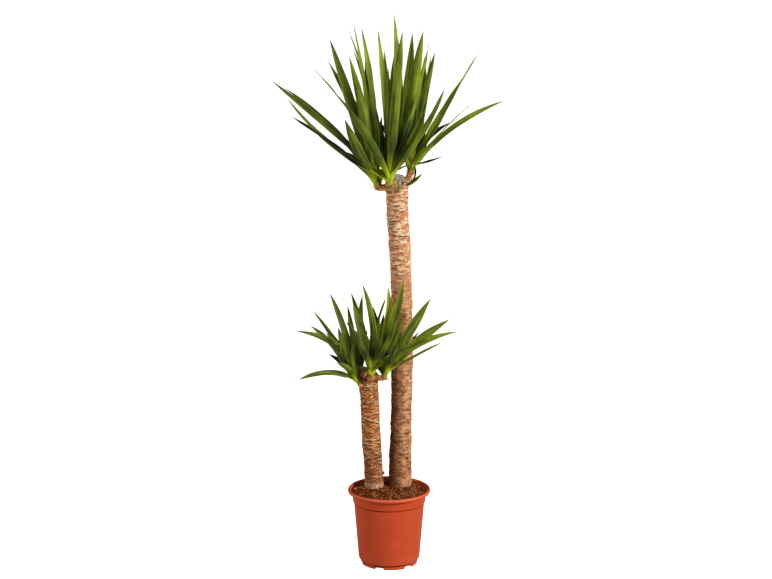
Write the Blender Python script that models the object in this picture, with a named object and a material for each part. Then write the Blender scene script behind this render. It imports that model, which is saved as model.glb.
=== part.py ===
"""A potted yucca: two bare canes with three leafy shoots each, in a round plastic nursery pot.

Metres, +Z up. The origin is the middle of the pot's underside, and the front of the plant faces -Y.
"""

import math

import bmesh
import bpy
from mathutils import Matrix, Vector

# ---------------------------------------------------------------- driving sizes
FIT = 0.0003            # clearance between two pieces that touch

RIM_RADIUS = 0.105      # outside of the rolled rim
POT_HEIGHT = 0.197
COLLAR_RADIUS = 0.0942  # top of the collar, just under the rim
BODY_TOP_RADIUS = 0.0900
BODY_FOOT_RADIUS = 0.0780
FOOT_RADIUS = 0.0722    # the ring that the pot stands on
WALL = 0.002
POT_SIDES = 48
STEP_HEIGHT = 0.1595    # where the body steps out into the collar
STEP_FOOT = 0.0185      # where the body's straight taper starts
LEDGE_HEIGHT = 0.1885   # where the wall turns out into the rim
FLOOR_TOP = 0.007
FLOOR_RADIUS = 0.0655
RECESS = 0.004          # depth of the ring-shaped recess under the floor
PAD_RADIUS = 0.030      # flat middle of the underside, level with the foot ring
NOTCH_HALF_WIDTH = 0.011
NOTCH_HEIGHT = 0.008
NOTCH_ANGLES = [-110 + 60 * i for i in range(6)]
NOTCH_DEPTH_RADIUS = 0.0680

SOIL_SIDES = 36
SOIL_EDGE_HEIGHT = 0.1895
SOIL_CROWN = 0.0015     # how much the middle of the soil stands above its edge
MOUND = 0.0035          # extra height where the soil is heaped against a cane
MOUND_SPREAD = 0.020

TALL_FOOT = (0.029, 0.040)
SHORT_FOOT = (-0.038, 0.025)
BURIED_DEPTH = 0.115
TRUNK_SIDES = 20

# Each cane: height above the pot's underside, sideways drift from its foot, radius.
TALL_STATIONS = [
    (0.188, 0.000, 0.0285), (0.215, 0.000, 0.0275), (0.290, 0.000, 0.0265), (0.370, 0.003, 0.0275),
    (0.450, 0.005, 0.0262), (0.530, 0.005, 0.0270), (0.610, 0.003, 0.0262), (0.690, 0.001, 0.0272),
    (0.760, -0.001, 0.0268), (0.830, -0.004, 0.0275), (0.900, -0.007, 0.0272), (0.974, -0.009, 0.0278),
]
SHORT_STATIONS = [
    (0.188, 0.000, 0.0248), (0.212, -0.001, 0.0240), (0.260, -0.003, 0.0228), (0.310, -0.007, 0.0238),
    (0.360, -0.009, 0.0226), (0.410, -0.011, 0.0236), (0.455, -0.013, 0.0232), (0.498, -0.015, 0.0236),
]
TALL_TOP_SLOPE = 0.34   # the sawn top leans to the front
SHORT_TOP_SLOPE = 0.30

# Each shoot: its root inside the cane, its elbow, the foot of its dome, and its radius.
SHOOTS = {
    "tall_left": ((-0.002, 0.036, 0.960), (-0.031, 0.028, 0.962), (-0.031, 0.027, 0.980), 0.0110),
    "tall_centre": ((0.012, 0.034, 0.950), (0.000, -0.002, 0.956), (-0.001, -0.002, 0.986), 0.0115),
    "tall_right": ((0.026, 0.044, 0.968), (0.053, 0.062, 0.978), (0.053, 0.063, 1.003), 0.0105),
    "short_left": ((-0.054, 0.022, 0.474), (-0.084, 0.012, 0.476), (-0.085, 0.010, 0.490), 0.0100),
    "short_centre": ((-0.051, 0.018, 0.474), (-0.047, -0.015, 0.480), (-0.047, -0.016, 0.503), 0.0105),
    "short_right": ((-0.049, 0.020, 0.476), (-0.016, 0.005, 0.480), (-0.014, 0.003, 0.496), 0.0100),
}

# Each leaf: the side that it points to (degrees, 0 is right, 90 is away), how steeply it starts (degrees),
# how far it bends down along its length (degrees), how far it sweeps to the left (degrees), how far the blade
# is rolled about its midrib (degrees), its length (cm) and its widest width (mm).
LEAVES = {
    "tall_left": [
        (164, 54, 26, -6, 25, 33, 21), (212, 40, 6, -2, -30, 30, 18), (112, 58, 22, -18, 0, 35, 16),
        (141, 66, 1, -18, 25, 36, 27), (238, 48, 2, 20, 0, 22, 22), (232, 79, 5, -15, -40, 32, 26),
        (146, 80, 6, 0, 0, 38, 12), (82, 84, 6, 40, 0, 37, 15), (95, 40, 12, 0, 10, 33, 21),
    ],
    "tall_centre": [
        (172, 43, 8, 0, 45, 37, 26), (222, 60, 18, -20, 10, 35, 24), (297, 79, 3, 20, 0, 38, 30),
        (318, 42, -12, 22, -20, 30, 19), (124, 80, 0, -7, 0, 35, 18), (76, 86, 6, 20, 0, 39, 13),
        (22, 76, -6, 25, -15, 35, 21), (328, 62, -12, -7, -20, 35, 17), (82, 66, 2, 15, 0, 33, 19),
    ],
    "tall_right": [
        (350, 62, 6, 9, -45, 34, 27), (355, 50, 30, 5, -40, 30, 21), (36, 52, 46, 6, -30, 20, 18),
        (312, 54, 28, 9, -20, 13, 15), (64, 83, 4, -15, -20, 33, 21), (76, 68, 4, 15, 0, 29, 26),
        (92, 57, 2, 10, 0, 31, 14), (338, 76, -8, 12, -50, 29, 18), (112, 42, 14, 0, -10, 31, 22),
    ],
    "short_left": [
        (192, 28, 58, -7, 45, 16, 22), (238, 38, 20, -15, 25, 10, 16), (238, 74, 74, 5, 20, 17, 23),
        (186, 54, 44, -4, 30, 19, 20), (158, 48, 22, 0, 30, 16, 16), (138, 74, 18, 8, 20, 21, 21),
        (255, 63, 24, -6, 0, 17, 20),
    ],
    "short_centre": [
        (234, 54, 0, 2, -35, 16, 21), (206, 87, 11, -15, -40, 22, 23), (80, 64, -12, 0, 0, 21, 20),
        (316, 58, 2, -10, 30, 17, 19), (0, 68, -8, 10, -55, 23, 23), (104, 54, 0, -20, 0, 20, 16),
        (338, 44, 34, 2, -40, 17, 17),
    ],
    "short_right": [
        (334, 60, 6, -8, -65, 23, 27), (343, 49, 20, 2, -60, 23, 26), (354, 41, 24, 3, -40, 22, 17),
        (328, 33, 10, 3, -30, 18, 12), (286, 66, 4, 0, 15, 18, 18), (100, 52, 14, 0, 0, 22, 20),
        (138, 40, 16, 0, 10, 19, 18),
    ],
}
NECK_STEPS = 4
DOME_STEPS = 5
DOME_HEIGHT = 0.030
SHOOT_SIDES = 12
SEAT_CLIMB = 0.75        # how far up its dome a leaf sits, against how steeply it starts
LEAF_STATIONS = 8
LEAF_BASE_WIDTH = 0.40   # share of the widest width
LEAF_THICKNESS = 0.0018
LEAF_FOLD = 0.32         # how far the edges stand above the midrib, as a share of the half width
LEAF_SEAT_INSET = 0.003  # a leaf starts this far inside its shoot, and the overlap is then cut away


# ---------------------------------------------------------------- helpers
def material(name, colour, roughness, metallic=0.0):
    made = bpy.data.materials.new(name)
    made.use_nodes = True
    shader = made.node_tree.nodes["Principled BSDF"]
    shader.inputs["Base Color"].default_value = (*colour, 1.0)
    shader.inputs["Roughness"].default_value = roughness
    shader.inputs["Metallic"].default_value = metallic
    return made


def object_of(name, mesh, surface):
    made = bpy.data.objects.new(name, mesh)
    bpy.context.scene.collection.objects.link(made)
    if surface is not None:
        mesh.materials.append(surface)
    return made


def helper(obj):
    """A cutter: it shapes other pieces and is no piece itself."""
    obj.hide_render = True
    obj.display_type = "WIRE"
    return obj


def tube_mesh(name, rings):
    """A closed skin over rings of equal size, with a fan at each end."""
    shape = bmesh.new()
    loops = [[shape.verts.new(p) for p in ring] for ring in rings]
    count = len(loops[0])
    for low, high in zip(loops, loops[1:]):
        for i in range(count):
            j = (i + 1) % count
            shape.faces.new((low[i], low[j], high[j], high[i]))
    for loop, turned in ((loops[0], True), (loops[-1], False)):
        middle = shape.verts.new(sum((v.co for v in loop), Vector()) / count)
        for i in range(count):
            j = (i + 1) % count
            shape.faces.new((middle, loop[j], loop[i]) if turned else (middle, loop[i], loop[j]))
    mesh = bpy.data.meshes.new(name)
    shape.to_mesh(mesh)
    shape.free()
    mesh.shade_smooth()
    mesh.set_sharp_from_angle(angle=math.radians(40))
    return mesh


def turned_mesh(name, profile, sides):
    """A closed solid of revolution. The profile starts and ends on the axis, its outer side going up."""
    shape = bmesh.new()
    first = shape.verts.new((0, 0, profile[0][1]))
    last = shape.verts.new((0, 0, profile[-1][1]))
    loops = []
    for radius, height in profile[1:-1]:
        turns = [2 * math.pi * i / sides for i in range(sides)]
        loops.append([shape.verts.new((radius * math.cos(a), radius * math.sin(a), height)) for a in turns])
    for i in range(sides):
        j = (i + 1) % sides
        shape.faces.new((first, loops[0][j], loops[0][i]))
        for low, high in zip(loops, loops[1:]):
            shape.faces.new((low[i], low[j], high[j], high[i]))
        shape.faces.new((last, loops[-1][i], loops[-1][j]))
    mesh = bpy.data.meshes.new(name)
    shape.to_mesh(mesh)
    shape.free()
    mesh.shade_smooth()
    mesh.set_sharp_from_angle(angle=math.radians(40))
    return mesh


def cut(obj, cutter):
    taken = obj.modifiers.new(f"cut_{cutter.name}", "BOOLEAN")
    taken.operation = "DIFFERENCE"
    taken.object = cutter
    taken.solver = "EXACT"


# ---------------------------------------------------------------- pot
def build_pot(surface):
    inner_collar = COLLAR_RADIUS - WALL
    inner_step = BODY_TOP_RADIUS - WALL
    profile = [
        (0, 0), (PAD_RADIUS, 0), (PAD_RADIUS + 0.001, RECESS),
        (FOOT_RADIUS - 0.0030, RECESS), (FOOT_RADIUS - 0.0026, 0), (FOOT_RADIUS - 0.0006, 0),
        (FOOT_RADIUS, 0.0006), (FOOT_RADIUS, 0.0078), (FOOT_RADIUS - 0.0010, 0.0083),
        (FOOT_RADIUS - 0.0010, 0.0095), (FOOT_RADIUS + 0.0020, 0.0100), (BODY_FOOT_RADIUS - 0.0008, 0.0140),
        (BODY_FOOT_RADIUS, STEP_FOOT), (BODY_TOP_RADIUS, STEP_HEIGHT - 0.002),
        (BODY_TOP_RADIUS + 0.0018, STEP_HEIGHT), (COLLAR_RADIUS, 0.1862), (COLLAR_RADIUS + 0.0010, 0.1870),
        (RIM_RADIUS - 0.0008, 0.1876), (RIM_RADIUS, 0.1888), (RIM_RADIUS, 0.1935), (RIM_RADIUS - 0.0008, 0.1957),
        (RIM_RADIUS - 0.0025, POT_HEIGHT), (RIM_RADIUS - 0.0052, 0.1966), (RIM_RADIUS - 0.0070, 0.1950),
        (RIM_RADIUS - 0.0076, 0.1905), (RIM_RADIUS - 0.0086, 0.1892), (inner_collar, LEDGE_HEIGHT),
        (inner_collar - 0.0022, STEP_HEIGHT + 0.001), (inner_step, STEP_HEIGHT - 0.003),
        (BODY_FOOT_RADIUS - WALL - 0.0004, STEP_FOOT + 0.0005), (FLOOR_RADIUS, FLOOR_TOP), (0, FLOOR_TOP),
    ]
    pot = object_of("pot", turned_mesh("pot", profile, POT_SIDES), surface)
    for index, angle in enumerate(NOTCH_ANGLES):
        cut(pot, notch_cutter(index, math.radians(angle)))


def notch_cutter(index, angle):
    """An arch that cuts one drain notch into the foot ring from outside."""
    steps = 8
    arch = [(-NOTCH_HALF_WIDTH, -0.002)]
    for i in range(steps + 1):
        turn = math.pi * (1 - i / steps)
        arch.append((NOTCH_HALF_WIDTH * math.cos(turn), NOTCH_HEIGHT * math.sin(turn)))
    arch.append((NOTCH_HALF_WIDTH, -0.002))
    outward = Vector((math.cos(angle), math.sin(angle), 0))
    across = Vector((-math.sin(angle), math.cos(angle), 0))
    rings = []
    for radius in (NOTCH_DEPTH_RADIUS, FOOT_RADIUS + 0.004):
        rings.append([outward * radius + across * s + Vector((0, 0, z)) for s, z in arch])
    return helper(object_of(f"notch_{index}", tube_mesh(f"notch_{index}", [r[::-1] for r in rings]), None))


# ---------------------------------------------------------------- canes
def cane_rings(foot, stations, slope, grown=0.0):
    """Rings up a cane. The buried stretch is straight, and the top one is sawn on a slant."""
    height, drift, radius = stations[0]
    buried = [(height - BURIED_DEPTH - grown, drift, radius - 0.001), (height - 0.02, drift, radius - 0.001)]
    rings = []
    rows = buried + stations
    for number, (height, drift, radius) in enumerate(rows):
        ring = []
        for i in range(TRUNK_SIDES):
            turn = 2 * math.pi * i / TRUNK_SIDES
            across = (radius + grown) * math.cos(turn)
            away = (radius + grown) * math.sin(turn)
            lift = slope * away + grown if number == len(rows) - 1 else 0.0
            ring.append((foot[0] + drift + across, foot[1] + away, height + lift))
        rings.append(ring)
    return rings


def build_canes(surface):
    canes = {}
    for name, foot, stations, slope in (
        ("tall", TALL_FOOT, TALL_STATIONS, TALL_TOP_SLOPE),
        ("short", SHORT_FOOT, SHORT_STATIONS, SHORT_TOP_SLOPE),
    ):
        node = f"{name}_trunk"
        object_of(node, tube_mesh(node, cane_rings(foot, stations, slope)), surface)
        room = tube_mesh(f"{name}_room", cane_rings(foot, stations, slope, FIT))
        canes[name] = helper(object_of(f"{name}_room", room, None))
    return canes


# ---------------------------------------------------------------- soil
def soil_height(x, y):
    centre = SOIL_CROWN * (1 - (x * x + y * y) / RIM_RADIUS ** 2)
    heap = 0.0
    for foot, radius in ((TALL_FOOT, TALL_STATIONS[0][2]), (SHORT_FOOT, SHORT_STATIONS[0][2])):
        off = max(math.hypot(x - foot[0], y - foot[1]) - radius, 0.0)
        heap = max(heap, MOUND * math.exp(-(off / MOUND_SPREAD) ** 2))
    return SOIL_EDGE_HEIGHT + max(centre, 0.0) + heap


def build_soil(surface, canes):
    inner_collar = COLLAR_RADIUS - WALL - FIT
    inner_step = BODY_TOP_RADIUS - WALL - FIT
    sides = [
        (FLOOR_RADIUS - FIT, FLOOR_TOP + FIT), (BODY_FOOT_RADIUS - WALL - 0.0008, STEP_FOOT + 0.0007),
        (inner_step, STEP_HEIGHT - 0.003), (inner_collar - 0.0022, STEP_HEIGHT + 0.0012),
        (inner_collar, LEDGE_HEIGHT + FIT), (RIM_RADIUS - 0.0093, SOIL_EDGE_HEIGHT + 0.0002),
    ]
    tops = [(radius, 0.0) for radius in (0.0935, 0.084, 0.072, 0.060, 0.048, 0.036, 0.022, 0.0)]
    mesh = turned_mesh("soil", [(0, FLOOR_TOP + FIT)] + sides + tops, SOIL_SIDES)
    for vertex in mesh.vertices:
        if vertex.co.z == 0.0:  # the upper side, which follows its own formula
            vertex.co.z = soil_height(vertex.co.x, vertex.co.y)
    soil = object_of("soil", mesh, surface)
    for cane in canes.values():
        cut(soil, cane)


# ---------------------------------------------------------------- shoots
def shoot_mesh(name, points, thick, grown=0.0):
    """A bent neck out of the cane, closed by a tall dome that carries the leaves."""
    root, elbow, crown = (Vector(p) for p in points)
    centres, lines, radii = [], [], []
    for i in range(NECK_STEPS):
        share = i / NECK_STEPS
        centres.append(root * (1 - share) ** 2 + elbow * 2 * share * (1 - share) + crown * share ** 2)
        lines.append((elbow - root) * 2 * (1 - share) + (crown - elbow) * 2 * share)
        radii.append(thick * (0.8 + 0.2 * share) + grown)
    for i in range(DOME_STEPS):
        turn = math.radians(82) * i / (DOME_STEPS - 1)
        centres.append(crown + Vector((0, 0, (DOME_HEIGHT + grown) * math.sin(turn))))
        lines.append(Vector((0, 0, 1)))
        radii.append((thick + grown) * math.cos(turn))
    rings = []
    for centre, line, radius in zip(centres, lines, radii):
        turned = line.to_track_quat("Z", "Y").to_matrix()
        turns = [2 * math.pi * i / SHOOT_SIDES for i in range(SHOOT_SIDES)]
        rings.append([centre + turned @ Vector((radius * math.cos(t), radius * math.sin(t), 0)) for t in turns])
    return tube_mesh(name, rings)


def build_shoots(surface, canes):
    rooms = {}
    for name, (root, elbow, tip, thick) in SHOOTS.items():
        node = f"{name}_shoot"
        shoot = object_of(node, shoot_mesh(node, (root, elbow, tip), thick), surface)
        cut(shoot, canes[name.split("_")[0]])
        room = shoot_mesh(f"{name}_room", (root, elbow, tip), thick, FIT)
        rooms[name] = helper(object_of(f"{name}_shoot_room", room, None))
    return rooms


# ---------------------------------------------------------------- leaves
def leaf_width(share):
    """Half width along a leaf as a share of the widest: narrow at the seat, widest a third up, pointed."""
    if share < 0.35:
        return LEAF_BASE_WIDTH + (1 - LEAF_BASE_WIDTH) * math.sin(share / 0.35 * math.pi / 2)
    return max(1 - ((share - 0.35) / 0.65) ** 1.7, 0.0)


def leaf_line(seat, leaf, steps):
    """The middle line as (place, sideways direction, upper side), walked in even steps."""
    side, rise, bend, sweep, roll, length, _ = leaf
    rows = []
    place = Vector(seat)
    for i in range(steps + 1):
        share = i / steps
        up = math.radians(rise - bend * share)
        turn = math.radians(side + sweep * (share - 0.5))
        along = Vector((math.cos(up) * math.cos(turn), math.cos(up) * math.sin(turn), math.sin(up)))
        across = Vector((-math.sin(turn), math.cos(turn), 0))
        rolled = Matrix.Rotation(math.radians(roll) * math.sin(min(share / 0.6, 1) * math.pi / 2), 3, along)
        rows.append((place.copy(), rolled @ across, rolled @ along.cross(across)))
        place += along * (length / 100 / steps)
    return rows


def leaf_mesh(name, seat, leaf):
    """A tapered blade folded along its midrib, ending in a point."""
    shape = bmesh.new()
    loops = []
    rows = leaf_line(seat, leaf, LEAF_STATIONS)
    widest = leaf[-1] / 1000
    for i, (place, across, upper) in enumerate(rows[:-1]):
        half = widest / 2 * leaf_width(i / LEAF_STATIONS)
        edge = upper * (LEAF_FOLD * half)
        rib = upper * (LEAF_THICKNESS / 2)
        loops.append([
            shape.verts.new(place + across * half + edge),
            shape.verts.new(place + rib),
            shape.verts.new(place - across * half + edge),
            shape.verts.new(place - rib),
        ])
    tip = shape.verts.new(rows[-1][0])
    for low, high in zip(loops, loops[1:]):
        for i in range(4):
            j = (i + 1) % 4
            shape.faces.new((low[i], low[j], high[j], high[i]))
    for i in range(4):
        shape.faces.new((loops[-1][i], loops[-1][(i + 1) % 4], tip))
    shape.faces.new((loops[0][1], loops[0][0], loops[0][3]))
    shape.faces.new((loops[0][3], loops[0][2], loops[0][1]))
    bmesh.ops.triangulate(shape, faces=shape.faces)
    bmesh.ops.recalc_face_normals(shape, faces=shape.faces)
    mesh = bpy.data.meshes.new(name)
    shape.to_mesh(mesh)
    shape.free()
    mesh.shade_smooth()
    mesh.set_sharp_from_angle(angle=math.radians(30))
    return mesh


def leaf_seat(shoot, side, rise):
    """Flat leaves sit low on their shoot's dome, steep ones near its top, on the side that they point to."""
    crown, thick = Vector(shoot[2]), shoot[3]
    turn, height = math.radians(side), math.radians(rise * SEAT_CLIMB)
    on_dome = Vector((
        thick * math.cos(height) * math.cos(turn),
        thick * math.cos(height) * math.sin(turn),
        DOME_HEIGHT * math.sin(height),
    ))
    up = math.radians(rise)
    along = Vector((math.cos(up) * math.cos(turn), math.cos(up) * math.sin(turn), math.sin(up)))
    return crown + on_dome - along * LEAF_SEAT_INSET


def build_leaves(surface, rooms):
    for name, leaves in LEAVES.items():
        for number, leaf in enumerate(leaves, start=1):
            node = f"{name}_leaf_{number}"
            seat = leaf_seat(SHOOTS[name], *leaf[:2])
            cut(object_of(node, leaf_mesh(node, seat, leaf), surface), rooms[name])


def main():
    for obj in list(bpy.data.objects):
        bpy.data.objects.remove(obj, do_unlink=True)
    build_pot(material("terracotta_plastic", (0.50, 0.10, 0.035), 0.38))
    canes = build_canes(material("cane_bark", (0.30, 0.16, 0.075), 0.85))
    build_soil(material("potting_mix", (0.055, 0.024, 0.011), 0.95), canes)
    rooms = build_shoots(material("shoot_base", (0.36, 0.35, 0.05), 0.6), canes)
    build_leaves(material("leaf_green", (0.085, 0.18, 0.02), 0.45), rooms)


main()
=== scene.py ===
# %% [markdown]
# # A potted yucca, dressed for the studio
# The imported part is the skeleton: a pot, its soil, two sawn canes, six shoots and forty-eight leaves, all
# plain. This lesson gives each of them its surface. Most pieces are modelled again with a finer mesh that
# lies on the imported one, because bark, soil and leaves live from relief that a construction model leaves out.

# %% Load the frame
import math
import random

import bpy
import numpy as np
from mathutils import Matrix, Vector, noise


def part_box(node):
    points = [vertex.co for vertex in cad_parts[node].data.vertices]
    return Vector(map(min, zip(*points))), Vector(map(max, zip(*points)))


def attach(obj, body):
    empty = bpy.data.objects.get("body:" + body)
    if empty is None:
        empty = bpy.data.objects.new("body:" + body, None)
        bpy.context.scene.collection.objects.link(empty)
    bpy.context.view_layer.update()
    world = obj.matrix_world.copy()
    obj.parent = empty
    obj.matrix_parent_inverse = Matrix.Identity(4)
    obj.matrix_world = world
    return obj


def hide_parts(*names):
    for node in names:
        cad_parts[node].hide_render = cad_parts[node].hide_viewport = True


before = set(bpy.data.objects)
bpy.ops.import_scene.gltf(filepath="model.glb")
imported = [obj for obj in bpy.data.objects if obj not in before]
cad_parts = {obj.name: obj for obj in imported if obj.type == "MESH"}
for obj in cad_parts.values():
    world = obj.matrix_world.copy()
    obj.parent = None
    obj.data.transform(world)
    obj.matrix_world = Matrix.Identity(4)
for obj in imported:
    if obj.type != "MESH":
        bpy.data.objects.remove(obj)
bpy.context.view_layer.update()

# %% [markdown]
# ## Camera
# The plant is tall and thin, so a long lens from far away keeps its canes parallel. The camera stands well
# above the crown and looks down a little: the soil then shows as a flat ellipse inside the rim.

# %% Camera
CAMERA_PLACE = (-0.008, -6.5, 2.26)
LOOK_DOWN = math.radians(13.352)
LENS_MM = 124.3

lens = bpy.data.cameras.new("studio_lens")
lens.sensor_width = 36
lens.lens = LENS_MM
lens.clip_end = 60
camera = bpy.data.objects.new("studio_camera", lens)
camera.location = CAMERA_PLACE
camera.rotation_euler = (math.pi / 2 - LOOK_DOWN, 0, 0)
bpy.context.scene.collection.objects.link(camera)
bpy.context.scene.camera = camera
bpy.context.scene.view_settings.view_transform = "Standard"
bpy.context.scene.view_settings.look = "Medium High Contrast"
print("camera at", CAMERA_PLACE, "with a lens of", LENS_MM, "mm")

# %% [markdown]
# ## Helpers for shader nodes
# `add` makes one node and fills its inputs in a single call: a value is set, and a socket is linked. `times`,
# `remap` and `blend_colour` are the three nodes that every finish here needs most. `tint` turns a colour as a
# paint shop would write it, red, green and blue up to 255, into the linear values that shaders use.


# %% Node helpers
def tint(red, green, blue):
    linear = [((c / 255 + 0.055) / 1.055) ** 2.4 if c > 10 else c / 255 / 12.92 for c in (red, green, blue)]
    return (*linear, 1.0)


def feed(tree, socket, value):
    """Links another node's socket to this one, or sets this one to a plain value."""
    if isinstance(value, bpy.types.NodeSocket):
        tree.links.new(value, socket)
    else:
        socket.default_value = value


def add(tree, kind, inputs=None, **settings):
    node = tree.nodes.new(kind)
    for name, value in settings.items():
        setattr(node, name, value)
    for name, value in (inputs or {}).items():
        feed(tree, node.inputs[name], value)
    return node


def math_node(tree, operation, first, second=0.0, clamp=False):
    return add(tree, "ShaderNodeMath", {0: first, 1: second}, operation=operation, use_clamp=clamp).outputs[0]


def times(tree, first, second):
    return math_node(tree, "MULTIPLY", first, second)


def remap(tree, value, low, high, start=0.0, end=1.0):
    """start where the value is low, end where it is high, a straight run between them and level beyond."""
    ranges = {"Value": value, "From Min": low, "From Max": high, "To Min": start, "To Max": end}
    return add(tree, "ShaderNodeMapRange", ranges).outputs[0]


def blend_colour(tree, mask, under, over, mode="MIX"):
    inputs = {0: mask, 6: under, 7: over}
    return add(tree, "ShaderNodeMix", inputs, data_type="RGBA", blend_type=mode).outputs[2]


def finish_of(name, roughness=0.5, shine=0.5):
    """A new material, its node tree and its Principled surface."""
    material = bpy.data.materials.new(name)
    material.use_nodes = True
    surface = material.node_tree.nodes["Principled BSDF"]
    surface.inputs["Roughness"].default_value = roughness
    surface.inputs["Specular IOR Level"].default_value = shine
    return material, material.node_tree, surface


print("mid grey in linear values", [round(value, 3) for value in tint(128, 128, 128)])

# %% [markdown]
# ## Light and floor
# One large soft lamp stands to the right, in front and above, so each cane has a bright right flank and a
# dark left one. Three weaker lamps, at the left front, at the far left and overhead, keep the shadow sides
# readable and leave the darkest band a little left of the middle. The world is white where the camera sees it
# and much dimmer as a light, which keeps the gaps between the leaves deep.

# %% World, lamps and floor
WORLD_AS_LIGHT = 0.08
FLOOR_GLOW = 0.93
FLOOR_REACH = 14


def white_world():
    world = bpy.data.worlds.new("white_studio")
    world.use_nodes = True
    tree = world.node_tree
    tree.nodes.clear()
    seen = add(tree, "ShaderNodeBackground", {"Color": (1, 1, 1, 1), "Strength": 1.0})
    shining = add(tree, "ShaderNodeBackground", {"Color": (1, 0.99, 0.97, 1), "Strength": WORLD_AS_LIGHT})
    path = add(tree, "ShaderNodeLightPath")
    pick = add(tree, "ShaderNodeMixShader",
               {0: path.outputs["Is Camera Ray"], 1: shining.outputs[0], 2: seen.outputs[0]})
    add(tree, "ShaderNodeOutputWorld", {"Surface": pick.outputs[0]})
    bpy.context.scene.world = world


def soft_lamp(name, place, aim, size, power, colour=(1, 1, 1)):
    data = bpy.data.lights.new(name, "AREA")
    data.shape = "DISK"
    data.size = size
    data.energy = power
    data.color = colour
    lamp = bpy.data.objects.new(name, data)
    lamp.location = place
    lamp.rotation_euler = (Vector(aim) - Vector(place)).to_track_quat("-Z", "Y").to_euler()
    bpy.context.scene.collection.objects.link(lamp)


def pale_floor():
    material, tree, surface = finish_of("pale_floor", 1.0, 0.0)
    surface.inputs["Base Color"].default_value = (0.7, 0.7, 0.7, 1)
    surface.inputs["Emission Color"].default_value = (1, 1, 1, 1)
    seen = add(tree, "ShaderNodeLightPath").outputs["Is Camera Ray"]
    tree.links.new(times(tree, seen, FLOOR_GLOW), surface.inputs["Emission Strength"])
    mesh = bpy.data.meshes.new("floor")
    corners = [(x * FLOOR_REACH, y * FLOOR_REACH, 0) for x, y in ((-1, -1), (1, -1), (1, 1), (-1, 1))]
    mesh.from_pydata(corners, [], [(0, 1, 2, 3)])
    mesh.materials.append(material)
    floor = bpy.data.objects.new("floor", mesh)
    bpy.context.scene.collection.objects.link(floor)


white_world()
soft_lamp("key", (3.5, -2.7, 2.6), (0, 0, 0.75), 1.5, 180)
soft_lamp("fill", (-2.4, -3.8, 2.0), (0, 0, 0.6), 2.0, 26)
soft_lamp("left", (-3.8, 0.2, 1.6), (0, 0, 0.6), 1.6, 46, (1, 0.84, 0.68))
soft_lamp("top", (0.3, 0.2, 4.2), (0, 0, 0.8), 1.6, 22)
pale_floor()
print("lamps", {lamp.name: lamp.energy for lamp in bpy.data.lights})

# %% [markdown]
# ## Helpers for meshes
# Every piece is made the same way: points and faces, a smooth skin, a material, and a parent that ties it to
# the body root, while the imported part it stands for is hidden. Painted values ride on the points as
# attributes, so bark and leaf materials can read them.


# %% Mesh helpers
def dress(name, points, faces, material, slot, stands_for=()):
    """A finished piece of the plant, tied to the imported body."""
    mesh = bpy.data.meshes.new(name)
    mesh.from_pydata([tuple(p) for p in points], [], faces)
    mesh.shade_smooth()
    mesh.materials.append(material)
    piece = bpy.data.objects.new(name, mesh)
    bpy.context.scene.collection.objects.link(piece)
    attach(piece, "root")
    if stands_for:
        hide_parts(*stands_for)
    return piece


def paint(piece, **values):
    """Writes a number on every point under each name: one for each point, or one for all of them."""
    for name, numbers in values.items():
        made = piece.data.attributes.new(name, "FLOAT", "POINT")
        made.data.foreach_set("value", np.full(len(piece.data.vertices), numbers, np.float32))


def ring_faces(rings, around):
    """Quads between rings of equal size, closed round, and a face over each end."""
    faces = []
    for low in range(rings - 1):
        for i in range(around):
            j = (i + 1) % around
            a, b = low * around, (low + 1) * around
            faces.append((a + i, a + j, b + j, b + i))
    faces.append(tuple(reversed(range(around))))
    faces.append(tuple(range((rings - 1) * around, rings * around)))
    return faces


def lumps(points, size, layers=3, seed=0):
    """Soft noise between about -1 and 1 at each point. size is the width of one lump in metres."""
    shift = Vector((seed * 17.1, seed * 5.3, seed * 9.7))
    return np.array([noise.fractal(Vector(p) / size + shift, 1.0, 2.0, layers) for p in points])


print("a tube of 3 rings with 8 sides has", len(ring_faces(3, 8)), "faces")

# %% [markdown]
# ## An effect that the finishes share
# Mottling is what keeps bark, soil and plastic from looking painted: soft patches of two tones with a finer
# grain in them. It is built once as a node group and placed in each material with its own sizes.

# %% The mottle group
COLOUR_AND_HEIGHT = (("Color", "NodeSocketColor"), ("Height", "NodeSocketFloat"))


def group_of(name, inputs, outputs):
    tree = bpy.data.node_groups.new(name, "ShaderNodeTree")
    for title, kind, value in inputs:
        socket = tree.interface.new_socket(title, in_out="INPUT", socket_type=kind)
        socket.default_value = value
    for title, kind in outputs:
        tree.interface.new_socket(title, in_out="OUTPUT", socket_type=kind)
    return tree, tree.nodes.new("NodeGroupInput"), tree.nodes.new("NodeGroupOutput")


def noise_of(tree, place, scale, detail):
    return add(tree, "ShaderNodeTexNoise", {"Vector": place, "Scale": scale, "Detail": detail}).outputs["Fac"]


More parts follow.
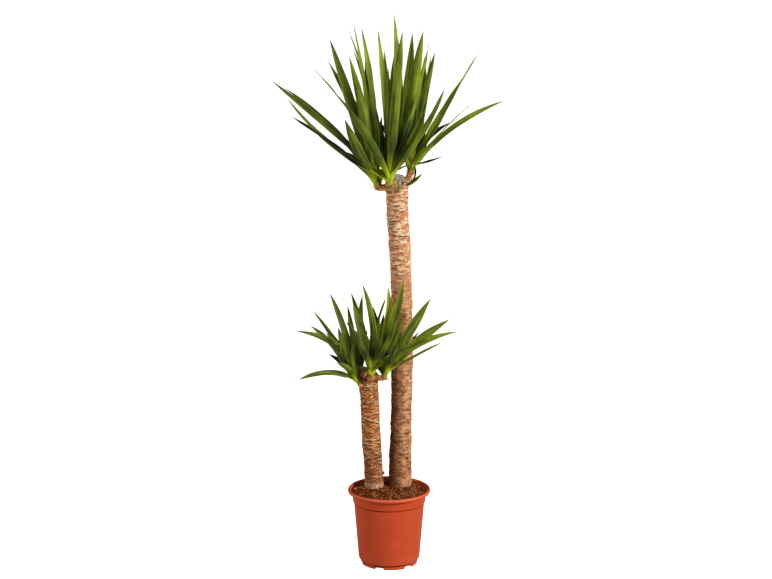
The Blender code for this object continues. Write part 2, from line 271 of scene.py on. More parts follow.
def mottle_group():
    """Patches of two colours, broken by a finer grain, both counted per metre. Flatten makes them low."""
    tree, given, result = group_of(
        "mottle",
        [("Dark", "NodeSocketColor", (0, 0, 0, 1)), ("Light", "NodeSocketColor", (1, 1, 1, 1)),
         ("Patches", "NodeSocketFloat", 60.0), ("Grains", "NodeSocketFloat", 600.0),
         ("Grain Share", "NodeSocketFloat", 0.4), ("Sharpness", "NodeSocketFloat", 2.0),
         ("Flatten", "NodeSocketFloat", 1.0)],
        COLOUR_AND_HEIGHT,
    )
    ask = given.outputs
    where = add(tree, "ShaderNodeTexCoord").outputs["Object"]
    squeeze = add(tree, "ShaderNodeCombineXYZ", {0: 1.0, 1: 1.0, 2: ask["Flatten"]}).outputs[0]
    place = add(tree, "ShaderNodeVectorMath", {0: where, 1: squeeze}, operation="MULTIPLY").outputs[0]
    patches, grains = noise_of(tree, place, ask["Patches"], 4.0), noise_of(tree, place, ask["Grains"], 2.0)
    mixed = add(tree, "ShaderNodeMix", {0: ask["Grain Share"], 2: patches, 3: grains}).outputs[0]
    spread = times(tree, math_node(tree, "SUBTRACT", mixed, 0.5), ask["Sharpness"])
    mask = math_node(tree, "ADD", spread, 0.5, clamp=True)
    tree.links.new(blend_colour(tree, mask, ask["Dark"], ask["Light"]), result.inputs["Color"])
    tree.links.new(mixed, result.inputs["Height"])
    return tree


MOTTLE = mottle_group()
print("mottle takes", [socket.name for socket in MOTTLE.interface.items_tree if socket.in_out == "INPUT"])


# %% Placing a group, reading painted values, raising bumps
def place_group(tree, group, **values):
    node = tree.nodes.new("ShaderNodeGroup")
    node.node_tree = group
    for name, value in values.items():
        feed(tree, node.inputs[name.replace("_", " ").title()], value)
    return node


def painted(tree, name):
    return add(tree, "ShaderNodeAttribute", attribute_name=name).outputs["Fac"]


def raise_bumps(tree, surface, height, distance, strength=1.0):
    bump = add(tree, "ShaderNodeBump", {"Height": height, "Distance": distance, "Strength": strength})
    tree.links.new(bump.outputs["Normal"], surface.inputs["Normal"])


# %% [markdown]
# ## The nursery pot
# The real pot is moulded plastic in a terracotta colour, 21 cm wide: a rolled rim, a collar, a step that lets
# pots stack, a tapered body and a foot ring with arched drain notches. A lathe gives all but the notches from
# one profile. Its corners are softened first, because moulded plastic has no sharp edge, and the notches are
# then cut with arched blocks.

# %% Pot sizes
pot_low, pot_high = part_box("pot")
RIM = (pot_high[0] - pot_low[0]) / 2
POT_TOP = pot_high[2]
COLLAR, BODY_TOP, BODY_FOOT, FOOT = 0.0942, 0.0900, 0.0780, 0.0722   # radii from the top down
WALL, POT_FLOOR = 0.002, 0.0125
STEP_HEIGHT = 0.1643
FOOT_SEAM = (0.0078, 0.0104)
STEP_GROOVE = (STEP_HEIGHT - 0.0036, STEP_HEIGHT - 0.0012)
RIM_GROOVE = (0.1850, 0.1870)
POT_SIDES = 180
print("pot", round(RIM * 2000), "mm across,", round(POT_TOP * 1000), "mm tall")


# %% Pot profile
def softened(corners, reach=0.0011, steps=3):
    """The same line with each corner cut back by at most reach and rounded."""
    line = [corners[0]]
    for before, corner, after in zip(corners, corners[1:], corners[2:]):
        into, out = Vector(before) - Vector(corner), Vector(after) - Vector(corner)
        a = Vector(corner) + into.normalized() * min(reach, into.length * 0.45)
        b = Vector(corner) + out.normalized() * min(reach, out.length * 0.45)
        for i in range(steps + 1):
            t = i / steps
            line.append(tuple(a * (1 - t) ** 2 + Vector(corner) * 2 * t * (1 - t) + b * t ** 2))
    return line + [corners[-1]]


def pot_profile():
    """Radius and height from the middle of the underside, up the outside and down to the pot's floor."""
    return softened([
        (0, 0), (0.030, 0), (0.031, 0.004), (FOOT - 0.0030, 0.004), (FOOT - 0.0026, 0), (FOOT - 0.0006, 0),
        (FOOT, 0.0006), (FOOT, 0.0074), (FOOT - 0.0065, FOOT_SEAM[0]), (FOOT - 0.0065, FOOT_SEAM[1]),
        (FOOT + 0.0020, 0.0108), (BODY_FOOT - 0.0008, 0.0140), (BODY_FOOT, 0.0185),
        (BODY_TOP - 0.0002, STEP_HEIGHT - 0.0038), (BODY_TOP - 0.0050, STEP_GROOVE[0]),
        (BODY_TOP - 0.0050, STEP_GROOVE[1]), (BODY_TOP + 0.0024, STEP_HEIGHT - 0.0010),
        (BODY_TOP + 0.0024, STEP_HEIGHT + 0.0012), (COLLAR, 0.1846), (COLLAR - 0.0035, RIM_GROOVE[0]),
        (COLLAR - 0.0035, RIM_GROOVE[1]), (RIM - 0.0008, 0.1880), (RIM, 0.1890), (RIM, 0.1935),
        (RIM - 0.0008, 0.1957), (RIM - 0.0025, POT_TOP), (RIM - 0.0052, 0.1966), (RIM - 0.0070, 0.1950),
        (RIM - 0.0076, 0.1905), (RIM - 0.0086, 0.1892), (COLLAR - WALL, 0.1885), (COLLAR - 0.0070, 0.1872),
        (BODY_TOP - 0.0080, STEP_HEIGHT), (BODY_FOOT - 0.0060, 0.0190), (0.0600, POT_FLOOR), (0, POT_FLOOR),
    ])


def lathe(profile, sides):
    points = [(0, 0, profile[0][1]), (0, 0, profile[-1][1])]
    for radius, height in profile[1:-1]:
        for i in range(sides):
            turn = 2 * math.pi * i / sides
            points.append((radius * math.cos(turn), radius * math.sin(turn), height))
    faces = []
    rows = len(profile) - 2
    for i in range(sides):
        j = (i + 1) % sides
        faces.append((0, 2 + j, 2 + i))
        for row in range(rows - 1):
            low, high = 2 + row * sides, 2 + (row + 1) * sides
            faces.append((low + i, low + j, high + j, high + i))
        top = 2 + (rows - 1) * sides
        faces.append((1, top + i, top + j))
    return points, faces


print("the softened profile runs through", len(pot_profile()), "points")


# %% Terracotta-coloured plastic
def terracotta_plastic():
    material, tree, surface = finish_of("terracotta_plastic", shine=0.25)
    skin = place_group(tree, MOTTLE, dark=tint(191, 75, 40), light=tint(207, 93, 54), patches=22.0,
                       grains=420.0, grain_share=0.25, sharpness=1.4)
    position = add(tree, "ShaderNodeNewGeometry").outputs["Position"]
    height = add(tree, "ShaderNodeSeparateXYZ", {0: position}).outputs["Z"]
    near_foot, near_rim = remap(tree, height, 0.045, 0.0), remap(tree, height, 0.186, 0.190)
    dust = math_node(tree, "MAXIMUM", near_foot, times(tree, near_rim, 0.3))
    dusty = place_group(tree, MOTTLE, patches=55.0, grains=900.0, grain_share=0.5)
    dust = times(tree, dust, dusty.outputs["Height"])
    colour = blend_colour(tree, times(tree, dust, 0.25), skin.outputs["Color"], tint(226, 140, 104))
    # painted shade: the foot seam, the step groove and the groove under the rim are painted dark
    painted_groove_shade, painted_rim_highlight = tint(88, 30, 16), blend_colour(tree, 0.55, skin.outputs["Color"], tint(244, 142, 98))
    # painted highlight: a paler band along the top outer edge of the rim
    for low, high, band in ((*FOOT_SEAM, painted_groove_shade), (*STEP_GROOVE, painted_groove_shade), (0.1850, 0.1872, painted_groove_shade),
                            (0.1930, 0.1962, painted_rim_highlight)):
        above = math_node(tree, "GREATER_THAN", height, low)
        inside = times(tree, above, math_node(tree, "LESS_THAN", height, high))
        colour = blend_colour(tree, inside, colour, band)
    tree.links.new(colour, surface.inputs["Base Color"])
    tree.links.new(remap(tree, skin.outputs["Height"], 0.0, 1.0, 0.36, 0.50), surface.inputs["Roughness"])
    raise_bumps(tree, surface, skin.outputs["Height"], 0.0004, 0.35)
    return material


TERRACOTTA = terracotta_plastic()
print("the plastic has", len(TERRACOTTA.node_tree.nodes), "nodes")

# %% The pot, with its drain notches cut
NOTCH_HALF, NOTCH_HEIGHT = 0.0122, 0.008
NOTCH_ANGLES = (-110, -48, 10, 70, 130, 190)
NOTCH_RADII = (0.0680, FOOT + 0.004)
NOTCH_BELOW = -0.002


def notch_cutter(angle, steps=10):
    """An arched block that runs outwards through the foot ring."""
    turns = [math.pi * (1 - i / steps) for i in range(steps + 1)]
    arch = [(NOTCH_HALF * math.cos(turn), NOTCH_HEIGHT * math.sin(turn)) for turn in turns]
    arch = [(-NOTCH_HALF, NOTCH_BELOW), *arch, (NOTCH_HALF, NOTCH_BELOW)]
    outward = Vector((math.cos(angle), math.sin(angle), 0))
    across = Vector((-math.sin(angle), math.cos(angle), 0))
    points = [outward * radius + across * s + Vector((0, 0, z))
              for radius in NOTCH_RADII for s, z in reversed(arch)]
    mesh = bpy.data.meshes.new("notch")
    mesh.from_pydata([tuple(p) for p in points], [], ring_faces(2, len(arch)))
    cutter = bpy.data.objects.new("notch", mesh)
    bpy.context.scene.collection.objects.link(cutter)
    return cutter


def make_pot():
    pot = dress("nursery_pot", *lathe(pot_profile(), POT_SIDES), TERRACOTTA, "terracotta_plastic", ("pot",))
    cutters = [notch_cutter(math.radians(angle)) for angle in NOTCH_ANGLES]
    for cutter in cutters:
        taken = pot.modifiers.new("notch", "BOOLEAN")
        taken.object = cutter
        taken.solver = "EXACT"
    whole = bpy.data.meshes.new_from_object(pot.evaluated_get(bpy.context.evaluated_depsgraph_get()))
    pot.modifiers.clear()
    pot.data = whole
    whole.set_sharp_from_angle(angle=math.radians(38))
    for cutter in cutters:
        bpy.data.objects.remove(cutter)
    print("pot faces", len(whole.polygons))


make_pot()

# %% [markdown]
# ## Where the canes stand
# Both canes are slightly crooked, and each has its own thickness along its height. The stations are height,
# drift to the right and radius. The top ring is sawn on a slant that drops towards the front, and on the
# short cane towards the left as well.

# %% Cane stations
TALL_FOOT, SHORT_FOOT = Vector((0.029, 0.040, 0)), Vector((-0.038, 0.025, 0))
TALL_STATIONS = [
    (0.188, -0.001, 0.0300), (0.215, -0.001, 0.0292), (0.270, -0.0005, 0.0284), (0.320, 0.001, 0.0274),
    (0.370, 0.0015, 0.0260), (0.420, 0.0022, 0.0264), (0.450, 0.0035, 0.0267), (0.530, 0.004, 0.0268),
    (0.610, 0.0035, 0.0264), (0.690, 0.002, 0.0270), (0.770, 0.0005, 0.0250), (0.800, -0.0015, 0.0258),
    (0.835, -0.0035, 0.0266), (0.865, -0.005, 0.0257), (0.896, -0.0078, 0.0268), (0.920, -0.0082, 0.0254),
    (0.955, -0.0098, 0.0270), (0.989, -0.0105, 0.0264),
]
SHORT_STATIONS = [
    (0.188, 0, 0.0248), (0.212, -0.001, 0.0240), (0.260, -0.003, 0.0228), (0.310, -0.007, 0.0238),
    (0.360, -0.009, 0.0226), (0.410, -0.011, 0.0236), (0.450, -0.013, 0.0232), (0.488, -0.015, 0.0236),
]

print("canes rise to", TALL_STATIONS[-1][0], "and", SHORT_STATIONS[-1][0], "m")

# %% [markdown]
# ## Potting mix
# Potting mix is dark peat with crumbs, bark chips and a few pale fibres. A fine polar mesh carries lumps of
# three sizes, and it is heaped a little round the canes. Each low spot is painted darker, as little light
# gets into it.

# %% Soil surface
SOIL_EDGE, SOIL_RADIUS = 0.1895, 0.0958
SOIL_CROWN = 0.0015                      # how much higher the middle lies
HEAP_HEIGHT, HEAP_REACH = 0.0035, 0.020
SOIL_LUMPS = ((0.016, 3, 1), (0.0052, 2, 2), (0.0021, 2, 3))     # width of a lump, layers and seed
SOIL_RINGS, SOIL_SPOKES = 190, 300


def soil_level(x, y):
    crown = max(SOIL_CROWN * (1 - (x * x + y * y) / RIM ** 2), 0.0)
    heap = 0.0
    for foot, radius in ((TALL_FOOT, 0.0285), (SHORT_FOOT, 0.0248)):
        off = max(math.hypot(x - foot.x, y - foot.y) - radius, 0.0)
        heap = max(heap, HEAP_HEIGHT * math.exp(-(off / HEAP_REACH) ** 2))
    return SOIL_EDGE + crown + heap


print("soil level at the tall cane", round(soil_level(TALL_FOOT.x, TALL_FOOT.y), 4), "m")


# %% Potting mix finish
def potting_mix():
    material, tree, surface = finish_of("potting_mix", 0.95, 0.15)
    peat = place_group(tree, MOTTLE, dark=tint(40, 17, 10), light=tint(172, 92, 50), patches=190.0,
                       grains=520.0, grain_share=0.6, sharpness=9.0)
    place = add(tree, "ShaderNodeTexCoord").outputs["Object"]
    chips = add(tree, "ShaderNodeTexVoronoi", {"Vector": place, "Scale": 330.0}).outputs["Color"]
    chips = remap(tree, add(tree, "ShaderNodeSeparateColor", {0: chips}).outputs[0], 0.86, 0.96)
    colour = blend_colour(tree, chips, peat.outputs["Color"], tint(206, 128, 70))
    light = remap(tree, painted(tree, "hollow"), 0.0, 1.0, 1.0, 0.35)
    grey = add(tree, "ShaderNodeCombineColor", {i: light for i in range(3)}).outputs[0]
    tree.links.new(blend_colour(tree, 1.0, colour, grey, "MULTIPLY"), surface.inputs["Base Color"])
    raise_bumps(tree, surface, peat.outputs["Height"], 0.0022)
    return material


POTTING_MIX = potting_mix()
print("the potting mix has", len(POTTING_MIX.node_tree.nodes), "nodes")


# %% The soil
def soil_relief(points):
    """How far each point rises, and how far its crumbs and grains alone do."""
    coarse, crumbs, grains = (lumps(points, *kind) for kind in SOIL_LUMPS)
    return 0.0016 * coarse + 0.0015 * crumbs + 0.0007 * grains, crumbs + 0.6 * grains


def make_soil():
    flat = []
    for ring in range(SOIL_RINGS + 1):
        radius = 0.001 + (SOIL_RADIUS - 0.001) * (ring / SOIL_RINGS) ** 0.85
        for spoke in range(SOIL_SPOKES):
            turn = 2 * math.pi * (spoke + 0.5 * (ring % 2)) / SOIL_SPOKES
            flat.append((radius * math.cos(turn), radius * math.sin(turn), 0.0))
    relief, high = soil_relief(flat)
    points = [(x, y, soil_level(x, y) + d) for (x, y, _), d in zip(flat, relief)]
    skirt = [(share * x, share * y, SOIL_EDGE - drop)
             for share, drop in ((0.955, 0.0008), (0.950, 0.012)) for x, y, _ in points[-SOIL_SPOKES:]]
    faces = [tuple(reversed(f)) for f in ring_faces(SOIL_RINGS + 3, SOIL_SPOKES)]
    soil = dress("potting_soil", points + skirt, faces, POTTING_MIX, "potting_mix", ("soil",))
    paint(soil, hollow=np.append(np.clip(-0.9 * high, 0, 1), np.ones(len(skirt))))
    print("soil points", len(points))


make_soil()

# %% [markdown]
# ## Thin bent things
# Fibres, rootlets, husks and a few stray leaves are all one shape: a flat or round strip swept along a smooth
# line through a handful of places. A few half widths, evenly spaced from end to end, say how it swells and
# tapers.


# %% Strips
def smooth_line(places, steps):
    """A Catmull-Rom line through the places, with this many steps from each to the next."""
    known = [Vector(p) for p in places]
    known = [known[0] * 2 - known[1], *known, known[-1] * 2 - known[-2]]
    line = []
    for k in range(1, len(known) - 2):
        a, b, c, d = known[k - 1:k + 3]
        for i in range(steps):
            t = i / steps
            line.append(0.5 * (2 * b + (c - a) * t + (2 * a - 5 * b + 4 * c - d) * t ** 2
                               + (3 * b - a - 3 * c + d) * t ** 3))
    return line + [known[-2]]


def strip(places, halves, flat=1.0, around=8, steps=6, facing=(0, -1, 0.3)):
    """Points and faces of a strip; flat is its thickness against its width."""
    line = smooth_line(places, steps)
    widths = np.interp(np.linspace(0, 1, len(line)), np.linspace(0, 1, len(halves)), halves)
    points = []
    for i, (place, half) in enumerate(zip(line, widths)):
        along = (line[min(i + 1, len(line) - 1)] - line[max(i - 1, 0)]).normalized()
        across = along.cross(Vector(facing)).normalized()
        upper = across.cross(along)
        for k in range(around):
            turn = 2 * math.pi * k / around
            points.append(place + (across * math.cos(turn) + upper * flat * math.sin(turn)) * float(half))
    return points, ring_faces(len(line), around)


trial_points, _ = strip([(0, 0, 0), (0, 0, 0.01), (0.004, 0, 0.02)], [0.002, 0.001])
print("a strip through three places has", len(trial_points), "points")

# %% [markdown]
# ## Litter on the soil
# Crumbs of peat and bark lie loose on the soil, with pale fibres among them and four chips of stone, the
# largest at the left. Each is a small strip, and all of them are joined into one piece, because more than a
# thousand single ones would be slow to handle.


# %% Litter finish
def litter_finish():
    material, tree, surface = finish_of("soil_litter", 0.9, 0.2)
    rough = place_group(tree, MOTTLE, dark=tint(58, 26, 14), light=tint(150, 84, 46), patches=300.0,
                        grains=1100.0, sharpness=4.0)
    # how pale a bit is; left of the short cane it also carries painted shade
    pale = remap(tree, painted(tree, "tone"), 0.35, 1.0)
    colour = blend_colour(tree, pale, rough.outputs["Color"], tint(232, 184, 124))
    tree.links.new(colour, surface.inputs["Base Color"])
    return material


SOIL_LITTER = litter_finish()
print("the litter has", len(SOIL_LITTER.node_tree.nodes), "nodes")

# %% Crumbs, fibres and chips of stone
CRUMBS, FIBRES = 1100, 70
STONES = ((-0.087, 0.010, 0.0030), (0.007, -0.046, 0.0016), (0.016, -0.058, 0.0016), (-0.014, -0.046, 0.0014))
LITTER_RADIUS = 0.088
CANE_SPOTS = ((TALL_FOOT, 0.030), (SHORT_FOOT, 0.026))


def free_spot(chance, margin):
    """A random spot on the soil, clear of the canes."""
    while True:
        turn, radius = chance.uniform(0, 2 * math.pi), LITTER_RADIUS * math.sqrt(chance.random())
        x, y = radius * math.cos(turn), radius * math.sin(turn)
        if all(math.hypot(x - foot.x, y - foot.y) > clear + margin for foot, clear in CANE_SPOTS):
            return x, y


def on_soil(x, y, above):
    return Vector((x, y, soil_level(x, y) + above))


def crumb(chance):
    x, y = free_spot(chance, 0.001)
    size, turn = 0.0006 + 0.0013 * chance.random() ** 2, chance.uniform(0, math.pi)
    reach = Vector((math.cos(turn), math.sin(turn), chance.uniform(-0.4, 0.4))) * size
    reach *= chance.uniform(0.9, 2.0)
    spot = on_soil(x, y, 0.5 * size)
    shape = strip([spot - reach, spot + reach * chance.uniform(-0.2, 0.2), spot + reach],
                  [0.3 * size, size, 0.4 * size], chance.uniform(0.5, 0.9), 6, 2, (0, 0, 1))
    # painted shade: crumbs left of x = -0.04, beside the short cane, are kept darker
    return shape, chance.random() ** 4 * (1.0 if x > -0.04 else 0.3)


def fibre(chance):
    x, y = free_spot(chance, 0.004)
    turn, reach = chance.uniform(0, 2 * math.pi), chance.uniform(0.003, 0.008)
    spot = on_soil(x, y, 0.0016)
    one = Vector((math.cos(turn), math.sin(turn), chance.uniform(-0.1, 0.3))) * reach
    bend = Vector((-one.y, one.x, 0.001)) * chance.uniform(-0.5, 0.5)
    shape = strip([spot - one, spot + bend, spot + one], [0.0004, 0.0006, 0.0003], 1.0, 5, 4, (0, 0, 1))
    return shape, chance.uniform(0.5, 1.0)


def stone(x, y, half):
    spot = on_soil(x, y, 0.0012)
    return strip([spot - Vector((half, 0, 0)), spot, spot + Vector((half, 0.001, 0.0004))],
                 [0.4 * half, half, 0.3 * half], 0.7, 8, 3, (0, 0, 1)), 1.0


def make_litter():
    chance = random.Random(5)
    bits = [crumb(chance) for _ in range(CRUMBS)] + [fibre(chance) for _ in range(FIBRES)]
    points, faces, tones = [], [], []
    for (new_points, new_faces), tone in bits + [stone(*place) for place in STONES]:
        faces += [tuple(len(points) + i for i in face) for face in new_faces]
        points += new_points
        tones += [tone] * len(new_points)
    litter = dress("soil_litter", points, faces, SOIL_LITTER, "potting_mix")
    paint(litter, tone=tones)
    print("litter faces", len(faces))


make_litter()

# %% [markdown]
# ## Bark
# A yucca cane is built of old leaf bases. Each fallen leaf leaves a crescent that sags in the middle, a pale
# lip with a dark seam under it, and the crescents climb the cane in the golden angle. The seam is partly a
# dark joint and partly painted shadow, darkest just under each lip. Here each crescent is worked out in a
# flat map of the cane, arc along the girth and height, and then bent round it: the scale is thickest at its
# lip and sinks upwards until the next one hangs over it. Old bark low on the cane is corky and has nearly
# lost them.

# %% Crescents on a flat map of the cane
GOLDEN = math.radians(137.508)
LARGE_SCARS = ((0.4, 1.0), (0.06, 0.30))     # least and most of reach and sag, as shares of the widest
SMALL_SCARS = ((0.14, 0.4), (0, 0.08))
SMALL_PITCH = 0.26                           # how close the small scars lie, against the large ones
SCAR_LEAN = 0.0035
LIP_ABOVE, LIP_WIDTH = 0.0011, 0.0014
SEAM_BELOW, SEAM_WIDTH = 0.0018, 0.0017


def crescents(low, high, pitch, girth, seed, widest, reach, sag):
    """(arc, height, half width, sag, lean, strength) of each scar; reach and sag are shares of the widest."""
    chance = random.Random(seed)
    made = []
    height, turn = low, chance.random()
    while height < high:
        made.append((
            (turn * girth / (2 * math.pi)) % girth, height,
            chance.uniform(reach[0] * widest, reach[1] * widest),
            chance.uniform(sag[0] * widest, sag[1] * widest),
            chance.uniform(-SCAR_LEAN, SCAR_LEAN), chance.random() ** 2.2,
        ))
        height += pitch * chance.uniform(0.6, 1.4)
        turn += GOLDEN + chance.uniform(-0.3, 0.3)
    return made


def scar_map(arc, height, girth, scars, ragged):
    """Per point: distance above its lip and under the next one, lip strength, and seam strength with painted
    shadow.
    """
    above, below = np.full(arc.shape, 0.05), np.full(arc.shape, 0.05)
    lip, seam = np.zeros(arc.shape), np.zeros(arc.shape)
    for place, level, reach, sag, lean, strength in scars:
        band = slice(*np.searchsorted(height[:, 0], (level - 0.03, level + 0.05)))
        off = ((arc[band] - place + girth / 2) % girth - girth / 2) / reach
        near = np.abs(off) < 1
        rise = height[band] - level - sag * off ** 2 - lean * off - ragged[band]
        fade = np.where(near, 1 - off ** 4, 0)
        above[band] = np.where(near & (rise >= 0), np.minimum(above[band], rise), above[band])
        below[band] = np.where(near & (rise < 0), np.minimum(below[band], -rise), below[band])
        pale = strength * fade * np.exp(-((rise - LIP_ABOVE) / LIP_WIDTH) ** 2)
        dark = (0.25 + 0.75 * strength) * fade * np.exp(-((rise + SEAM_BELOW) / SEAM_WIDTH) ** 2)
        lip[band], seam[band] = np.maximum(lip[band], pale), np.maximum(seam[band], dark)
    return above, below, lip, seam


trial_scars = crescents(0, 0.1, pitch=0.0075, girth=0.16, seed=1, widest=0.036, reach=LARGE_SCARS[0],
                        sag=LARGE_SCARS[1])
print("a trial stretch of 10 cm has", len(trial_scars), "large scars")


# %% Drift and radius along a cane
def stations_at(heights, stations):
    """Drift and radius at each height, with the corners at the stations rounded off."""
    known, *columns = zip(*stations)
    rows = [np.pad(np.interp(heights, known, column), 10, "edge") for column in columns]
    return [np.convolve(row, np.ones(21) / 21, "valid") for row in rows]


def ramp(value, start, end):
    """0 before start, 1 after end and a straight run between them."""
    return np.clip((value - start) / (end - start), 0, 1)


_, trial_radii = stations_at(np.linspace(0.20, 0.98, 79), TALL_STATIONS)
print("the tall cane is", round(2000 * float(trial_radii.mean()), 1), "mm thick on average")


# %% The sawn end
def sawn_end(edge, seed, rings=22):
    """Rings that close a cane across its cut, dished and cracked a little, and how cracked each point is."""
    middle = Vector(edge.mean(axis=0))
    points, cracks = [], []
    for ring in range(1, rings):
        share = 1 - ring / rings
        for spoke, corner in enumerate(edge):
            place = middle.lerp(Vector(corner), share)
            wander = noise.noise(place / 0.009 + Vector((seed, 0, 0)))
            circle = max(math.sin(share * 30 + 5 * wander), 0) ** 3
            turn = 2 * math.pi * spoke / len(edge)
            split = max(math.cos(turn * 3.5 + 4 * wander + seed), 0) ** 40 * min(share * 2, 1)
            crack = min(0.75 * circle + split + 0.8 * max(share - 0.9, 0) * 10 * (0.5 + wander), 1)
            place.z += 0.0012 * noise.noise(place / 0.004 + Vector((seed, 0, 0))) + 0.002 * (1 - share)
            place.z -= 0.0012 * crack
            points.append(tuple(place))
            cracks.append(crack)
    return points + [tuple(middle + Vector((0, 0, 0.002)))], cracks + [0.6]


# %% Cane bodies
UNDER_SOIL = 0.012                       # how far the mesh goes on below the first station
RAGGED = 0.0022                          # how far the lips wander up and down
SCALE_LIFT, SCALE_FADE = 0.0016, 0.006   # how far a scale stands out at its lip, and how soon it sinks
SEAM_DEPTH, SEAM_FADE = 0.0012, 0.0022
CUT_DROP, CUT_HEIGHT = 0.0030, 0.014     # how far the bark draws in under the sawn end, and over what height


def make_cane(name, node, foot, stations, material, seed, rows, around, slant, pitch, widest, relief,
              old, shade, crust):
    """One cane. slant is how steeply the cut climbs to the back and to the right; pitch and widest space and
    size the scars, and relief scales how far they stand out; old, shade and crust say how corky, dark or
    chalky the bark is at a height and a turn."""
    low, high = stations[0][0] - UNDER_SOIL, stations[-1][0]
    heights = np.linspace(low, high, rows)
    drift, radius = stations_at(heights, stations)
    turn, height = np.meshgrid(np.arange(around) * 2 * math.pi / around, heights)
    wide = np.broadcast_to(radius[:, None], turn.shape)
    girth = 2 * math.pi * float(radius.mean())
    flat = np.stack((wide * np.cos(turn), wide * np.sin(turn), height), -1).reshape(-1, 3)

    def noisy(size, layers, step):
        return lumps(flat, size, layers, seed + step).reshape(turn.shape)

    ragged = RAGGED * noisy(0.010, 3, 0)
    scars = crescents(low - 0.02, high + 0.01, pitch, girth, seed, widest, *LARGE_SCARS)
    scars += crescents(low - 0.01, high, pitch * SMALL_PITCH, girth, seed + 1, widest, *SMALL_SCARS)
    above, below, lip, seam = scar_map(turn * girth / (2 * math.pi), height, girth, scars, ragged)
    cork = np.clip(old(height) + 0.25 * noisy(0.05, 2, 1), 0, 1)
    scaly, marked = 1 - 0.75 * cork, 1 - 0.5 * cork
    scale = SCALE_LIFT * np.exp(-above / SCALE_FADE) - SEAM_DEPTH * np.exp(-below / SEAM_FADE) - 0.0008 * seam
    out = relief * scaly * (scale + 0.0010 * noisy(0.011, 2, 5))
    out += relief * (0.0009 * noisy(0.030, 3, 2) + 0.00045 * noisy(0.0055, 3, 3) * (0.6 + cork))
    out -= CUT_DROP * ramp(height, high - CUT_HEIGHT, high) ** 2
    lifted = wide * (slant[0] * np.sin(turn) + slant[1] * np.cos(turn)) * ramp(height, high - 0.05, high)
    across = foot.x + drift[:, None] + (wide + out) * np.cos(turn)
    away = foot.y + (wide + out) * np.sin(turn)
    wall = np.stack((across, away, height + lifted), -1).reshape(-1, 3)
    cap, cracks = sawn_end(wall[-around:], seed)
    points = list(wall) + cap
    hub = len(points) - 1
    faces = ring_faces(hub // around, around)[:-1]
    faces += [(hub - around + i, hub - around + (i + 1) % around, hub) for i in range(around)]
    cane = dress(name, points, faces, material, "cane_bark", (node,))
    streaks = np.clip(5 * lumps(flat * (1, 1, 0.6), 0.0020, 3, seed + 7).reshape(turn.shape) + 0.5, 0, 1)
    # the seam is a dark joint under each lip plus painted shadow, deepened just under every lip
    bark = {"lip": np.clip(1.25 * lip * marked, 0, 1), "cork": cork, "shade": shade(height, turn),
            "seam": np.clip(seam + 0.30 * np.exp(-below / 0.0035), 0, 1) * scaly,
            "crust": streaks * crust(height + 0.4 * ragged, turn)}
    paint(cane, **{title: np.append(values, np.zeros(len(cap))) for title, values in bark.items()})
    wood = {"sawn": np.ones(len(cap)), "crack": cracks}
    paint(cane, **{title: np.append(np.zeros(len(wall)), values) for title, values in wood.items()})
    print(name, len(cane.data.polygons), "faces,", len(scars), "leaf scars")


# %% [markdown]
# ## Bark colours
# Young bark is cream and tan with orange-brown seams, and painted shadow darkens the bark under each lip. Old
# bark is a mottled brown. Both canes share one node group that lays the painted lips, seams with their painted
# shadow, cork and sawn wood over a mottled body; each cane gives it its own colours.

# %% Bark group
BARK_COLOURS = ("Young Dark", "Young Light", "Old Dark", "Old Light", "Stain", "Lip Color", "Seam Color",
                "Wood Dark", "Wood Light")


def bark_group():
    colours = [(name, "NodeSocketColor", (0, 0, 0, 1)) for name in BARK_COLOURS]
    tree, given, result = group_of("cane_bark", colours, COLOUR_AND_HEIGHT)
    ask = given.outputs
    young = place_group(tree, MOTTLE, dark=ask["Young Dark"], light=ask["Young Light"], patches=46.0,
                        grains=170.0, grain_share=0.55, sharpness=6.0, flatten=3.2)
    old = place_group(tree, MOTTLE, dark=ask["Old Dark"], light=ask["Old Light"], patches=70.0, grains=340.0,
                      grain_share=0.5, sharpness=6.0, flatten=1.8)
    fine = place_group(tree, MOTTLE, patches=34.0, grains=230.0, grain_share=0.35, flatten=2.6)
    broad = place_group(tree, MOTTLE, patches=16.0, grains=60.0, grain_share=0.4, sharpness=5.0)
    fine, broad = fine.outputs["Height"], broad.outputs["Color"]
    cork, crust = painted(tree, "cork"), painted(tree, "crust")
    body = blend_colour(tree, cork, young.outputs["Color"], old.outputs["Color"])
    stained = remap(tree, fine, 0.50, 0.60, 0.0, 0.75)
    stained = times(tree, stained, math_node(tree, "SUBTRACT", 1.0, times(tree, cork, 0.6)))
    body = blend_colour(tree, stained, body, ask["Stain"])
    clouds = blend_colour(tree, broad, ask["Old Dark"], ask["Old Light"])
    body = blend_colour(tree, times(tree, cork, 0.3), body, clouds)
    # the dark seam under each lip together with its painted shadow
    body = blend_colour(tree, painted(tree, "seam"), body, ask["Seam Color"])
    body = blend_colour(tree, painted(tree, "lip"), body, ask["Lip Color"])
    body = blend_colour(tree, remap(tree, fine, 0.37, 0.32, 0.0, 0.55), body, ask["Lip Color"])
    chalk = blend_colour(tree, crust, tint(206, 150, 96), tint(255, 244, 226))
    body = blend_colour(tree, crust, body, chalk)
    wood = place_group(tree, MOTTLE, dark=ask["Wood Dark"], light=ask["Wood Light"], patches=240.0,
                       grains=800.0, grain_share=0.4, sharpness=4.0)
    wood = blend_colour(tree, painted(tree, "crack"), wood.outputs["Color"], tint(44, 32, 26))
    colour = blend_colour(tree, painted(tree, "sawn"), body, wood)
    colour = blend_colour(tree, painted(tree, "shade"), colour, (0.30, 0.19, 0.13, 1), "MULTIPLY")
    height = add(tree, "ShaderNodeMix", {0: cork, 2: young.outputs["Height"], 3: old.outputs["Height"]})
    tree.links.new(colour, result.inputs["Color"])
    tree.links.new(height.outputs[0], result.inputs["Height"])
    return tree


